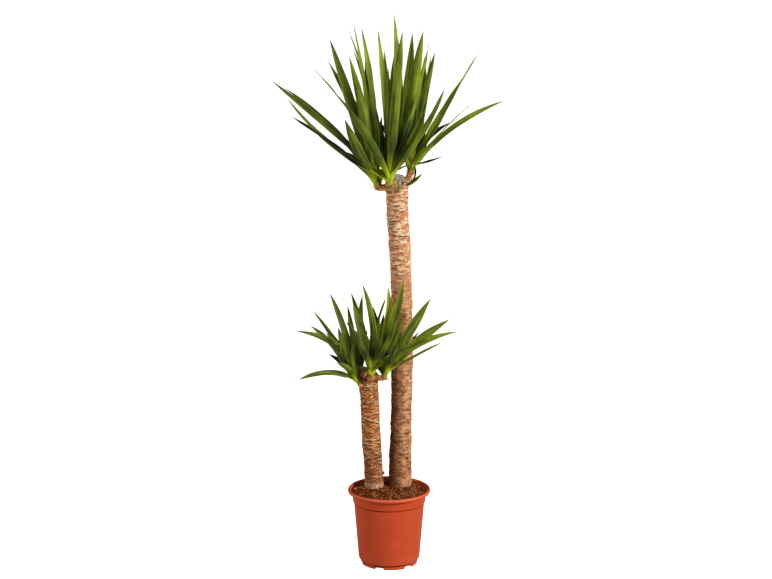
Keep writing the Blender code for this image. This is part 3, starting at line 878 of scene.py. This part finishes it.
BARK = bark_group()
print("the bark group takes", len(BARK_COLOURS), "colours")


# %% Bark of each cane
def bark_finish(name, **colours):
    material, tree, surface = finish_of(name, 0.85, 0.2)
    bark = place_group(tree, BARK, **{part: tint(*rgb) for part, rgb in colours.items()})
    tree.links.new(bark.outputs["Color"], surface.inputs["Base Color"])
    raise_bumps(tree, surface, bark.outputs["Height"], 0.0022)
    return material


# the seam colour paints the dark seams and the painted shadow under each lip
TALL_BARK = bark_finish(
    "tall_cane_bark", young_dark=(190, 118, 70), young_light=(254, 224, 184), old_dark=(104, 58, 34),
    old_light=(246, 188, 136), stain=(196, 116, 66), lip_color=(255, 234, 204), seam_color=(84, 38, 18),
    wood_dark=(128, 110, 96), wood_light=(250, 238, 222))
SHORT_BARK = bark_finish(
    "short_cane_bark", young_dark=(110, 54, 28), young_light=(236, 168, 108), old_dark=(98, 44, 24),
    old_light=(210, 140, 92), stain=(190, 104, 48), lip_color=(255, 228, 180), seam_color=(72, 32, 16),
    wood_dark=(96, 50, 26), wood_light=(186, 116, 66))
print("bark finishes", TALL_BARK.name, "and", SHORT_BARK.name)


# %% The two canes
def toward_left(turn):
    """1 on the side that faces the short cane, fading to 0 at the front and the back."""
    return np.clip(-np.cos(turn - math.radians(20)), 0, 1) ** 1.2


def toward_right_front(turn):
    return np.clip(np.cos(turn + math.radians(40)), 0, 1)


make_cane("tall_cane", "tall_trunk", TALL_FOOT, TALL_STATIONS, TALL_BARK, seed=11, rows=620, around=152,
          slant=(0.41, 0.0), pitch=0.0075, widest=0.036, relief=1.5,
          old=lambda z: ramp(z, 0.79, 0.69),
          shade=lambda z, turn: 0.9 * toward_left(turn) * ramp(z, 0.60, 0.46),
          crust=lambda z, turn: 0.45 * toward_right_front(turn) * ramp(z, 0.222, 0.204))
make_cane("short_cane", "short_trunk", SHORT_FOOT, SHORT_STATIONS, SHORT_BARK, seed=23, rows=280, around=144,
          slant=(0.30, 0.20), pitch=0.0044, widest=0.028, relief=1.0,
          old=lambda z: np.minimum(ramp(z, 0.27, 0.17), 0.7),
          shade=lambda z, turn: 0.15 * toward_left(turn) + 0.16 * ramp(z, 0.32, 0.26),
          crust=lambda z, turn: 0.95 * ramp(z, 0.211, 0.205))

# %% [markdown]
# ## Shoots
# A sawn cane sprouts from its sides. Each shoot leaves the bark as a short tan stub that turns up and carries
# a rosette. The stub and the soft core of the rosette are one bent body here, and the painted value `green`
# runs along it from the stub to the tip. The rosette leans the way the shoot grew.

# %% Shoot places
# root in the cane, foot of the rosette, the way the rosette leans, thickness of the stub and of the rosette
SHOOTS = {
    "tall_left": ((-0.002, 0.036, 0.972), (-0.028, 0.020, 0.975), (-0.42, -0.10, 0.90), 0.0088, 0.0112),
    "tall_centre": ((0.012, 0.032, 0.980), (0.002, -0.002, 0.986), (-0.03, -0.10, 1.00), 0.0090, 0.0120),
    "tall_right": ((0.038, 0.052, 0.966), (0.054, 0.062, 1.005), (0.06, -0.05, 1.00), 0.0090, 0.0125),
    "short_left": ((-0.054, 0.022, 0.464), (-0.075, 0.011, 0.469), (-0.60, -0.20, 0.78), 0.0080, 0.0068),
    "short_centre": ((-0.050, 0.018, 0.482), (-0.043, -0.016, 0.496), (-0.05, -0.15, 1.00), 0.0085, 0.0074),
    "short_right": ((-0.044, 0.020, 0.484), (-0.012, 0.004, 0.488), (0.28, -0.10, 0.95), 0.0074, 0.0080),
}
print("shoots", ", ".join(SHOOTS))


# %% Shoot finish
def shoot_finish():
    material, tree, surface = finish_of("shoot_base", 0.6, 0.3)
    stub = place_group(tree, MOTTLE, dark=tint(168, 96, 46), light=tint(246, 196, 134), patches=160.0,
                       grains=700.0, grain_share=0.4, sharpness=3.6)
    bud = place_group(tree, MOTTLE, dark=tint(122, 142, 30), light=tint(178, 190, 58), patches=120.0,
                      grains=600.0, grain_share=0.3, sharpness=2.6)
    green = remap(tree, painted(tree, "green"), 0.66, 0.74)
    colour = blend_colour(tree, green, stub.outputs["Color"], bud.outputs["Color"])
    tree.links.new(colour, surface.inputs["Base Color"])
    raise_bumps(tree, surface, stub.outputs["Height"], 0.0012)
    return material


SHOOT_BASE = shoot_finish()
print("the shoot finish has", len(SHOOT_BASE.node_tree.nodes), "nodes")

# %% The shoots
CORE_LENGTH = 0.030
AROUND_SHOOT, STUB_RINGS, CORE_RINGS = 32, 26, 14


def shoot_rings(name):
    """Place, direction, radius and green of each ring: first the stub, then the core of the rosette."""
    root, foot, lean, stub, girth = SHOOTS[name]
    root, foot, lean = Vector(root), Vector(foot), Vector(lean).normalized()
    straight = name == "tall_centre"             # it stands on the bark with hardly any stub
    elbow = foot - lean * (0.0 if straight else 0.5) * stub
    rings = []
    for i in range(STUB_RINGS):
        t = i / STUB_RINGS
        place = root * (1 - t) ** 2 + elbow * 2 * t * (1 - t) + foot * t ** 2
        line = ((elbow - root) * (1 - t) + (foot - elbow) * t).normalized()
        rings.append((place, line, stub * (1 - 0.18 * t ** 3), 0.7 * t + (0.25 if straight else 0.0)))
    for i in range(CORE_RINGS):
        rise = i / CORE_RINGS
        radius = 0.72 * girth * (1 - rise ** 2) + 0.0004
        rings.append((foot + lean * CORE_LENGTH * rise, lean, radius, 0.72 + 0.28 * rise))
    return rings


def make_shoot(name):
    rings = shoot_rings(name)
    points, values = [], []
    side = rings[0][1].cross(Vector((0, 0, 1))).normalized()
    for place, line, radius, green in rings:
        side = (side - line * side.dot(line)).normalized()
        up = line.cross(side)
        for i in range(AROUND_SHOOT):
            turn = 2 * math.pi * i / AROUND_SHOOT
            spoke = side * math.cos(turn) + up * math.sin(turn)
            dent = 1 + 0.14 * noise.fractal(place / 0.008 + spoke * 1.5, 1.0, 2.0, 3)
            points.append(place + spoke * radius * dent)
            values.append(green + 0.12 * noise.noise(place / 0.006 + spoke * 2))
    shoot = dress(f"{name}_bud", points, ring_faces(len(rings), AROUND_SHOOT), SHOOT_BASE, "shoot_base",
                  (f"{name}_shoot",))
    paint(shoot, green=values)


for shoot_name in SHOOTS:
    make_shoot(shoot_name)
print("rings of a shoot", STUB_RINGS + CORE_RINGS)

# %% [markdown]
# ## Leaves
# A yucca leaf is a stiff sword: a clasping sheath, a neck, its widest part near the middle and a sharp tip.
# It is folded along its midrib like a shallow gutter. One function draws every leaf from a row of numbers,
# and seeded chance gives each its own ripple, tone and dry tip. The leaves of one shoot all rise from the
# same foot: their sheaths clasp each other there and fan out above it.
#
# A row says how far the tip lies to the right, behind and above the foot of the rosette, and how far the
# middle of the leaf bows to its own right as seen from the front, in cm; the width in mm; the roll and the
# further twist to the tip in degrees. Where given, the last two are how pale the leaf is, from -2 for nearly
# black over 0 for middling to 2 for the brightest, partly its own tone and partly painted light and shade,
# and how much painted shade darkens its lower half.

# %% The leaves that stand for the imported ones
LEAVES = {
    "tall_left": [
        (-24, 8, 24, 1.8, 20, -20, 0, -0.4), (-21.5, -12, 20, 1, 16, 35, 0, -1.5),
        (-13, 18, 29.5, 1.5, 18, -80, 0, -0.4), (-12, 8, 36, 0, 27, -40, 0, 0.4),
        (-8, -11, 19, -0.5, 27, 30, 0, 0.0), (-7, -4, 33.5, 0.5, 24, 60, 0, 0.3),
        (-6, 8, 39.5, 0.5, 14, -5, 10, 1.0), (-4, 2, 39.5, 1, 18, -10, -30, 0.9, 1.8),
        (-3, 27.5, 18, 0, 22, 5, 0, -1.2),
    ],
    "tall_centre": [
        (-29.5, 6, 25, 0.5, 15, -75, 0, -0.2, 2.6), (-18, -14, 30.5, 1.5, 21, 50, -80, 0.0),
        (3, -6, 39, -0.2, 24, -25, 0, 0.4, 0.8), (13.5, -12, 26.5, 0.8, 16, -20, -80, 0.3),
        (-3, 7, 37.5, 0.4, 16, -10, 0, 1.5, 3.0), (1, 6, 42, 1, 20, 35, 10, 1.1),
        (5.5, 2, 37.5, 1, 25, 60, 0, 0.0), (9.5, -5, 36, 1, 18, -20, 10, 0.4, 3.6),
        (2, 12, 35, 1, 24, 40, 0, -0.8),
    ],
    "tall_right": [
        (17, -3.5, 31, -0.2, 21, 65, -50, 1.5), (23, -3.5, 18.5, -2.3, 15, 60, 0, 0.7),
        (11.5, 9.5, 11.5, -2, 22, 0, 0, -2.2), (6, -6.5, 8.5, -0.5, 18, -45, 0, 1.5),
        (3, -3.5, 36, -1, 27, -15, -25, 1.0, 3.6), (3.5, 9.5, 27.5, 0.5, 28, 15, 0, -0.7),
        (5, 5.5, 28.5, 0.5, 14, 30, 0, 1.0), (6, -0.5, 30.5, -0.3, 19, -70, 0, -0.2),
        (-7, 23.5, 18, 0, 22, -10, 0, -1.8),
    ],
    "short_left": [
        (-15.5, -6, 2.5, 2.3, 15, -60, 0, 0.2), (-5.5, -6, 7, 1, 18, 45, 0, 0.3),
        (-7, -7, 12.5, 2, 20, 35, 0, -0.6), (-16, -3, 14.5, 3.8, 20, -60, 0, -0.1),
        (-12.5, 3, 14.5, 1.3, 18, -45, 0, -0.2), (-7.5, 4, 23, 0.7, 18, -45, 0, 0.2),
        (-5, -9, 17, -0.5, 20, 45, 0, 0.0, 2.0),
    ],
    "short_centre": [
        (-6, -8.5, 16, 0.5, 17, 45, 0, -0.4), (-2.5, -1.5, 24.5, 1.6, 18, 50, 0, 0.4, 1.0),
        (4, 1.5, 23, 1.8, 24, 80, 0, 2.2, 0.5), (6.5, -5.5, 16.5, 0.5, 17, -35, 0, 0.1, 0.8),
        (8, -0.5, 25, 1, 24, 75, 0, 0.5), (-2.5, 11.5, 18.5, -1.5, 18, -20, 0, 0.3),
        (14.5, -3.5, 10.5, -1.5, 15, 60, 0, -0.1),
    ],
    "short_right": [
        (11.5, -4.5, 21.5, -0.2, 26, -60, 0, 0.3), (16.5, -5.5, 16.5, -1.1, 24, -75, 0, 0.7),
        (19, 1.5, 11.5, -2.5, 18, 50, 0, 0.8), (14.5, -7.5, 11, -0.4, 10, -50, 0, 0.7),
        (5, -6.5, 17.5, -0.5, 19, -20, 0, 0.0, 0.8), (-3, 14, 15, 0, 20, 0, 0, -1.4),
        (-10, 11, 12, 0, 18, -30, 0, -1.4),
    ],
}
print("leaves that stand for packed ones", {shoot: len(rows) for shoot, rows in LEAVES.items()})

# %% The leaves that only the looks need: thin, short and young ones inside each rosette
MORE_LEAVES = {
    "tall_left": [
        (-8, -4, 9.5, 1, 20, 45, 0, 0.1), (-7.5, 14, 37.5, 2.2, 10, -30, 0, 1.2),
        (-6.5, 18, 32.5, 1.8, 10, -20, 0, -0.2), (-3, 10, 33, -0.5, 16, -30, 0, 0.0),
        (-5, 14, 24, 0, 20, -70, 0, -0.8), (1, 11, 16, 0, 20, -30, 0), (-1, -3, 20, 0.5, 18, -10, 0, -0.6),
        (9, 16, 17, 0, 20, 0, 0),
    ],
    "tall_centre": [
        (-25.5, -2, 22, -2, 14, -50, 0, 0.3), (-1.5, 12, 32, 0.5, 13, -30, 0, 0.5),
        (1, 10, 31, 0, 24, -30, 0, 0.1), (-0.5, -3, 30, 0, 14, 0, 0, 0.5, 2.8),
        (-6, 9, 26, 0, 20, -60, 0, -0.2, 1.0), (5, 11, 24, 0, 22, -15, 0),
        (8, 6, 28, 0.5, 20, 10, 0, 0.2, 1.0), (-2.5, 4, 15, 0, 18, -60, 0, 0.6, 0.2), (3, 3, 24, 0, 18, 0, 0),
        (-9, 3, 21, 0, 18, -90, 0), (9, 2, 18, 0, 18, 30, 0, 0.8, 0.6),
    ],
    "tall_right": [
        (-1, 5.5, 27, 1, 22, -45, 0, -1.0), (2, 12, 23, 0, 22, -30, 0), (5, 10, 13, 0, 20, -15, 0),
        (-6, 9, 24, 0, 20, -75, 0), (-4, 3, 22, 0, 20, -80, 0), (7, 10, 12, 0, 20, -15, 0),
        (1, -2, 20, 0, 18, -45, 0, -1.3), (7.5, -1, 16, 0.5, 16, 40, 0, 0.5, 0.5), (-8, -2, 13, 0, 16, 60, 0),
        (14.5, -4.5, 17.5, -0.8, 8, 0, 0, 0.4),
    ],
    "short_left": [
        (-7.5, -4, 11.5, 0.3, 20, 30, 0, -0.4), (-8, 7, 6, 1, 14, -70, 0, -1.3),
        (-12, 9, 17, 0.8, 11, -50, 0, 0.6), (-3, 7, 19, 0.3, 15, -30, 0, -0.2),
        (-8.5, -3, 14.5, 0.5, 16, 60, 0, 0.2), (-1.5, -6, 12, -0.5, 11, 15, 0, 0.7),
        (-7, 6, 12, 0, 20, -70, 0), (-2, 4, 15, 0, 18, -60, 0, -0.2), (-5, 1, 11, 0.5, 18, -75, 0),
        (2, 8, 12, 0, 18, -20, 0), (-0.5, 4, 13, 0, 22, -20, 0, 1.2, 0.1),
    ],
    "short_centre": [
        (-4, -4.5, 3.5, 0.5, 11, 60, 0, -1.4), (2.5, -4.5, 5.5, 0, 13, -15, 0, -0.2),
        (-5, 5.5, 18, 0, 18, -30, 0, 0.3), (-5.5, 15.5, 18, 0.5, 16, -10, 0, 0.6),
        (-2, 1.5, 11.5, 0.5, 16, -45, 0, 0.9), (3.5, 11.5, 17.5, -1, 12, -20, 0, 0.8),
        (3, 7.5, 14.5, 0.5, 19, -10, 0, 0.0), (-4, 8, 13, 0, 20, -60, 0), (2, 4, 14, 0, 18, -15, 0, 1.2, 0.8),
        (0, -1, 15, 0, 16, -30, 0, -0.5), (7, 6, 12, 0, 18, -10, 0),
    ],
    "short_right": [
        (5, -2.5, 8, 0, 16, -60, 0, 0.4), (3.5, -9.5, 12.5, 0, 13, -10, 0, -0.7), (3, 8, 15, 0, 18, -20, 0),
        (-3, 5, 15, 0, 18, -60, 0), (4, 3, 11, 0, 18, 0, 0), (1, -1, 13, 0, 16, -60, 0),
        (9, 8, 10, 0, 18, 0, 0),
    ],
}
print("finer leaves", {shoot: len(rows) for shoot, rows in MORE_LEAVES.items()})

# %% The midrib of one leaf
LEAF_STEPS = 52
CROWD = 1.6              # how much closer together the steps lie near the foot
HUG = 0.026              # how far up the rosette the sheaths stay together
SHEATH = 0.030           # how far up a sheath gives way to a blade


def smooth(value):
    value = min(max(value, 0.0), 1.0)
    return value * value * (3 - 2 * value)


def leaf_line(shoot, leaf):
    """(share of the way, distance from the foot, place) on the midrib, the way out, the sheath's radius."""
    _, foot, lean, _, girth = SHOOTS[shoot]
    foot, lean = Vector(foot), Vector(lean).normalized()
    right, away, up, bow = leaf[:4]
    reach = Vector((right, away, up)) / 100
    bowed = reach / 2 + Vector((up, 0, -right)).normalized() * bow / 50
    outward = Vector((right, away, 0)).normalized()
    around = (outward - lean * outward.dot(lean)).normalized()
    inner = max(1 - reach.angle(lean) / math.radians(70), 0.0)
    ring = girth * (0.95 - 0.55 * inner)
    line = []
    for i in range(LEAF_STEPS + 1):
        share = (i / LEAF_STEPS) ** CROWD
        spot = bowed * 2 * share * (1 - share) + reach * share ** 2
        gone = spot.length
        spot += lean * 0.020 * inner * (1 - share) ** 3
        upward = lean * spot.dot(lean)
        hug = gone ** 2 / (gone ** 2 + HUG ** 2)
        clasp = math.sqrt(min(gone / 0.010, 1.0)) / (1 + (gone / 0.05) ** 2)
        line.append((share, gone, foot + upward + (spot - upward) * hug + around * ring * clasp))
    return line, outward, ring


def leaf_stations(shoot, leaf):
    """Share, distance from the foot, place, direction across and upper side at each step."""
    line, outward, ring = leaf_line(shoot, leaf)
    level = Vector((-outward.y, outward.x, 0))
    stations = []
    for i, (share, gone, place) in enumerate(line):
        before, after = line[max(i - 1, 0)][2], line[min(i + 1, LEAF_STEPS)][2]
        along = (after - before).normalized()
        across = (level - along * level.dot(along)).normalized()
        roll = leaf[5] * smooth(share / 0.30) + leaf[6] * smooth((share - 0.35) / 0.5)
        turned = Matrix.Rotation(math.radians(roll), 3, along)
        stations.append((share, gone, place, turned @ across, turned @ along.cross(across)))
    return stations, ring


trial_stations, _ = leaf_stations("tall_left", LEAVES["tall_left"][0])
print("the first leaf reaches", round(trial_stations[-1][1], 3), "m from its foot")

# %% The skin of one leaf
LEAF_ACROSS = 8
NECK, WIDEST_AT = 0.60, 0.35
TIP_HALF = 0.0002
FLAT_WRAP, SHEATH_WRAP = 0.18, 1.20      # half the angle that the blade and the sheath wrap round
BLADE_THICK, SHEATH_THICK = 0.0009, 0.0006
GUTTER = 0.26                            # how far the margins stand above the midrib, against half the width
GREEN_FROM = 0.045                       # how far up the yellow of the bud reaches


def leaf_half_width(share, fullness):
    """Half width against the widest: a neck, a long even blade and a tip."""
    if share < WIDEST_AT:
        return NECK + (1 - NECK) * math.sin(share / WIDEST_AT * math.pi / 2)
    return max(1 - ((share - WIDEST_AT) / (1 - WIDEST_AT)) ** fullness, 0.0)


def leaf_skin(shoot, leaf, chance):
    """Points, faces and painted values of one closed leaf."""
    width = leaf[4] / 1000
    stations, ring = leaf_stations(shoot, leaf)
    length = stations[-1][1]
    ripple, beat, phase = chance.uniform(0.0004, 0.0014), chance.uniform(14, 26), chance.uniform(0, 6.3)
    lean, fullness = chance.uniform(-0.3, 0.3), chance.uniform(2.6, 4.2)
    spots = [(-1 + 2 * k / LEAF_ACROSS, 1) for k in range(LEAF_ACROSS + 1)]
    spots += [(1 - 2 * k / LEAF_ACROSS, -1) for k in range(1, LEAF_ACROSS)]
    points, painted_on = [], []
    for share, gone, place, across, upper in stations:
        sheath = 1 / (1 + (gone / SHEATH) ** 3)
        clasping = 1.3 * ring * math.sqrt(min(gone / 0.008, 1.0)) + 0.0008
        half = width / 2 * leaf_half_width(share, fullness) * (1 - sheath) + clasping * sheath
        half = max(half, TIP_HALF)
        wrap = FLAT_WRAP + SHEATH_WRAP * sheath
        curl = half / wrap
        thick = BLADE_THICK * (1 - 0.5 * share) + SHEATH_THICK * sheath
        wave = ripple * math.sin(beat * share * length / 0.3 + phase) * min(share * 4, 1)
        for x, face in spots:
            lift = curl * (1 - math.cos(wrap * x)) + GUTTER * half * abs(x) * (1 - sheath)
            lift += wave * x * abs(x) + lean * half * 0.1 * x
            body = thick * face * (1 - 0.85 * x * x)
            points.append(place + across * curl * math.sin(wrap * x) + upper * (lift + body - 0.12 * half))
            # the third value marks the lower half of the leaf, which gets painted crown shade
            painted_on.append((share - 0.8 / (1 + (gone / GREEN_FROM) ** 2), x, smooth((0.62 - share) / 0.5)))
    return points, ring_faces(len(stations), len(spots)), np.transpose(painted_on)


print("points of a leaf", (LEAF_STEPS + 1) * 2 * LEAF_ACROSS)

# %% [markdown]
# ## Leaf colour
# The blade is a deep yellow-green with fine lengthwise streaks, a pale margin and a yellow base where no
# light reached it in the bud. Old leaves get a brown tip. All of it hangs on five painted values: how far
# along the leaf a point is, how far across, the tone of the whole leaf with painted light and shade in it,
# the painted shade deep in the crown and how much of the tip is dry.


# %% Leaf finish
def leaf_green():
    material, tree, surface = finish_of("leaf_green", shine=0.22)
    along, across, tone, depth, dry = (
        painted(tree, name) for name in ("along", "across", "tone", "depth", "dry"))
    lengthwise = add(tree, "ShaderNodeCombineXYZ", {0: times(tree, across, 3.0), 1: times(tree, along, 2.2),
                                                    2: times(tree, tone, 40.0)}).outputs[0]
    streaks = noise_of(tree, lengthwise, 1.6, 5.0)
    clouds = noise_of(tree, add(tree, "ShaderNodeTexCoord").outputs["Object"], 22.0, 2.0)
    mixed = math_node(tree, "ADD", times(tree, streaks, 1.1), times(tree, clouds, 0.5))
    # the leaf's tone lifts or sinks it, partly its own tone and partly painted light and shade; crown shade is
    # painted shade on the lower half
    lighter = times(tree, math_node(tree, "SUBTRACT", tone, depth), 0.24)
    mixed = math_node(tree, "ADD", math_node(tree, "SUBTRACT", mixed, 0.35), lighter)
    # the near-black green is painted shade for leaves in the shadow of others
    blade = blend_colour(tree, remap(tree, mixed, 0.08, 0.34), tint(30, 38, 16), tint(72, 90, 28))
    blade = blend_colour(tree, remap(tree, mixed, 0.34, 0.84), blade, tint(156, 168, 48))
    blade = blend_colour(tree, remap(tree, along, 0.0, -0.55), blade, tint(184, 196, 36))
    margin = remap(tree, math_node(tree, "ABSOLUTE", across), 0.88, 1.0)
    blade = blend_colour(tree, times(tree, margin, 0.55), blade, tint(168, 178, 54))
    ragged = math_node(tree, "ADD", along, times(tree, streaks, 0.05))
    past_green = math_node(tree, "SUBTRACT", ragged, math_node(tree, "SUBTRACT", 1.0, dry))
    brown = math_node(tree, "MULTIPLY", past_green, 30.0, clamp=True)
    tree.links.new(blend_colour(tree, brown, blade, tint(92, 62, 30)), surface.inputs["Base Color"])
    tree.links.new(remap(tree, mixed, 0.0, 1.0, 0.36, 0.58), surface.inputs["Roughness"])
    raise_bumps(tree, surface, streaks, 0.0006, 0.6)
    return material


LEAF_GREEN = leaf_green()
print("the leaf finish has", len(LEAF_GREEN.node_tree.nodes), "nodes")


# %% All leaves
def painted_crown_shade(shoot, leaf):
    """How much painted shade darkens a leaf's lower half, for standing among the others. The foremost leaves
    are clear.
    """
    if len(leaf) > 8:
        return leaf[8]
    steep = max(1 - Vector(leaf[:3]).angle(Vector(SHOOTS[shoot][2])) / math.radians(60), 0)
    return 1.8 * steep if leaf[1] > -2 else 0.3


def make_leaf(name, shoot, leaf, node, chance):
    """One leaf. A row that gives no tone is painted dark as a shaded leaf from the heart of the rosette."""
    points, faces, (along, across, low) = leaf_skin(shoot, leaf, chance)
    blade = dress(name, points, faces, LEAF_GREEN, "leaf_green", (node,) if node else ())
    blade.data.set_sharp_from_angle(angle=math.radians(80))
    # tone with painted light and shade in it; rows without a tone are painted dark as shaded inner leaves
    tone = chance.uniform(-1, 1)
    tone = leaf[7] + 0.15 * tone if len(leaf) > 7 else -1.5 + 0.3 * tone
    paint(blade, along=along, across=across, tone=tone, depth=painted_crown_shade(shoot, leaf) * low,
          dry=chance.choice((0.0, 0.0, 0.01, 0.03, 0.06)))


leaf_chance = random.Random(31)
for shoot_name, rows in LEAVES.items():
    for number, row in enumerate(rows + MORE_LEAVES[shoot_name], 1):
        packed = f"{shoot_name}_leaf_{number}" if number <= len(rows) else None
        make_leaf(f"{shoot_name}_blade_{number}", shoot_name, row, packed, leaf_chance)
print("leaves", sum(len(rows) + len(MORE_LEAVES[shoot_name]) for shoot_name, rows in LEAVES.items()))

# %% [markdown]
# ## Husks, hairs and stray leaves
# Old papery scales wrap the foot of each rosette, a green bud sits under the saw cut of the tall cane, and a
# few thin leaves hang out of the tidy order of the rosettes. All of them are the bent strips from above.


# %% Husks
def husk_finish():
    material, tree, surface = finish_of("dry_husk", 0.8, 0.2)
    husk = place_group(tree, MOTTLE, dark=tint(128, 62, 26), light=tint(240, 184, 118), patches=120.0,
                       grains=600.0, grain_share=0.5, sharpness=5.0)
    colour = blend_colour(tree, painted(tree, "dark"), husk.outputs["Color"], tint(58, 28, 16))
    tree.links.new(colour, surface.inputs["Base Color"])
    raise_bumps(tree, surface, husk.outputs["Height"], 0.0012)
    return material


HUSK = husk_finish()
HUSK_HALVES = (0.0045, 0.0048, 0.0030, 0.0004)


def make_husks(shoot, count, length, seed):
    """Scales that clasp the stub just under the rosette and peel away at their tips."""
    _, foot, lean, _, girth = SHOOTS[shoot]
    foot, lean = Vector(foot), Vector(lean).normalized()
    chance = random.Random(seed)
    side = lean.cross(Vector((0, 1, 0))).normalized()
    front = side.cross(lean)
    for number in range(count):
        turn = 2 * math.pi * (number + chance.uniform(-0.3, 0.3)) / count
        out = side * math.cos(turn) + front * math.sin(turn)
        reach = length * chance.uniform(0.6, 1.2)
        places = [foot + out * girth * share - lean * 0.004 + lean * reach * rise
                  for share, rise in ((0.75, 0), (0.92, 0.35), (0.98, 0.7), (chance.uniform(0.95, 1.35), 1))]
        dress(f"{shoot}_husk_{number + 1}", *strip(places, HUSK_HALVES, 0.16, facing=out), HUSK, "shoot_base")


HUSKS = {"tall_left": (5, 0.010), "tall_centre": (6, 0.009), "tall_right": (6, 0.012),
         "short_left": (4, 0.008), "short_centre": (6, 0.011), "short_right": (6, 0.010)}
for seed, (shoot_name, (count, length)) in enumerate(HUSKS.items(), 1):
    make_husks(shoot_name, count, length, seed)
print("husks", sum(count for count, _ in HUSKS.values()))

# %% Dry strips, roots and hairs
# places and half widths in mm, and how dark
DRY_STRIPS = {
    "short_top_husk_1": ([(-60, 14, 478), (-60, 10, 494), (-57, 8, 508)], [6, 5, 1], 0),
    "short_top_husk_2": ([(-52, 16, 482), (-53, 12, 500), (-55, 12, 518)], [6, 6, 1], 0),
    "short_top_husk_3": ([(-64, 22, 478), (-66, 20, 496), (-63, 16, 514)], [5, 5, 1], 0),
    "short_top_husk_4": ([(-34, 16, 478), (-30, 10, 490), (-31, 8, 500)], [4, 4, 1], 0),
    "tall_hair": ([(-30, 10, 974), (-45, 4, 980), (-54, 0, 992)], [1.4, 0.9, 0.4], 0),
    "short_root_1": ([(-20, 4, 484), (-6, -2, 486), (4, -4, 480), (10, -4, 478)], [1.4, 1.2, 1, 0.5], 0),
    "short_root_2": ([(-22, 6, 484), (-27, 2, 492), (-22, 0, 499)], [1.2, 0.9, 0.4], 0),
    "short_left_curl": ([(-70, 14, 454), (-74.5, 12, 449), (-73.5, 12, 443)], [1.6, 1.4, 0.4], 0.8),
    "short_flake_right": ([(-16.5, 18, 226), (-13.5, 16, 233.5), (-14, 16, 239)], [1, 2.4, 0.6], 0.8),
}


def strip_in_mm(places, halves, flat):
    return strip(np.array(places) / 1000, np.array(halves) / 1000, flat)


for name, (places, halves, dark) in DRY_STRIPS.items():
    paint(dress(name, *strip_in_mm(places, halves, 0.3), HUSK, "shoot_base"), dark=dark)
print("dry strips", len(DRY_STRIPS))

# %% Stray leaves
# places and half widths in mm, and the tone, which holds painted light and shade
STRAY_LEAVES = {
    "stray_long": ([(8, -4, 1004), (18, -11, 1022), (46, 0, 1034), (72, 18, 1034), (100, 20, 1041),
                    (134, 20, 1052)], [2.2, 2, 1.8, 2.2, 3.2, 0.3], -0.6),
    "stray_hanging": ([(60, 52, 1024), (66, 48, 1010), (61, 36, 992), (44, 18, 981)],
                      [1.6, 2.2, 2.4, 1.2], -1.4),
    "stray_small_1": ([(42, 16, 979), (54, 4, 987), (67, -10, 999), (79, -20, 1011)],
                      [1.6, 3.4, 3, 0.3], 0.2),
    "stray_small_2": ([(42, 18, 980), (56, 10, 990), (72, 4, 1003), (83, 0, 1014)],
                      [1.6, 3, 2.6, 0.3], -0.3),
    "stray_bud": ([(21.5, 12, 993), (23.2, 8, 980), (25, 7, 969), (25.6, 8, 963)],
                  [2.2, 2.6, 3.6, 1.2], 0.4),
}
for name, (places, halves, tone) in STRAY_LEAVES.items():
    shape = strip_in_mm(places, halves, 0.9 if name == "stray_bud" else 0.3)
    stray = dress(name, *shape, LEAF_GREEN, "leaf_green")
    paint(stray, along=np.linspace(0.1, 0.9, len(shape[0])), across=0, tone=tone, depth=0, dry=0)
print("stray leaves", len(STRAY_LEAVES))
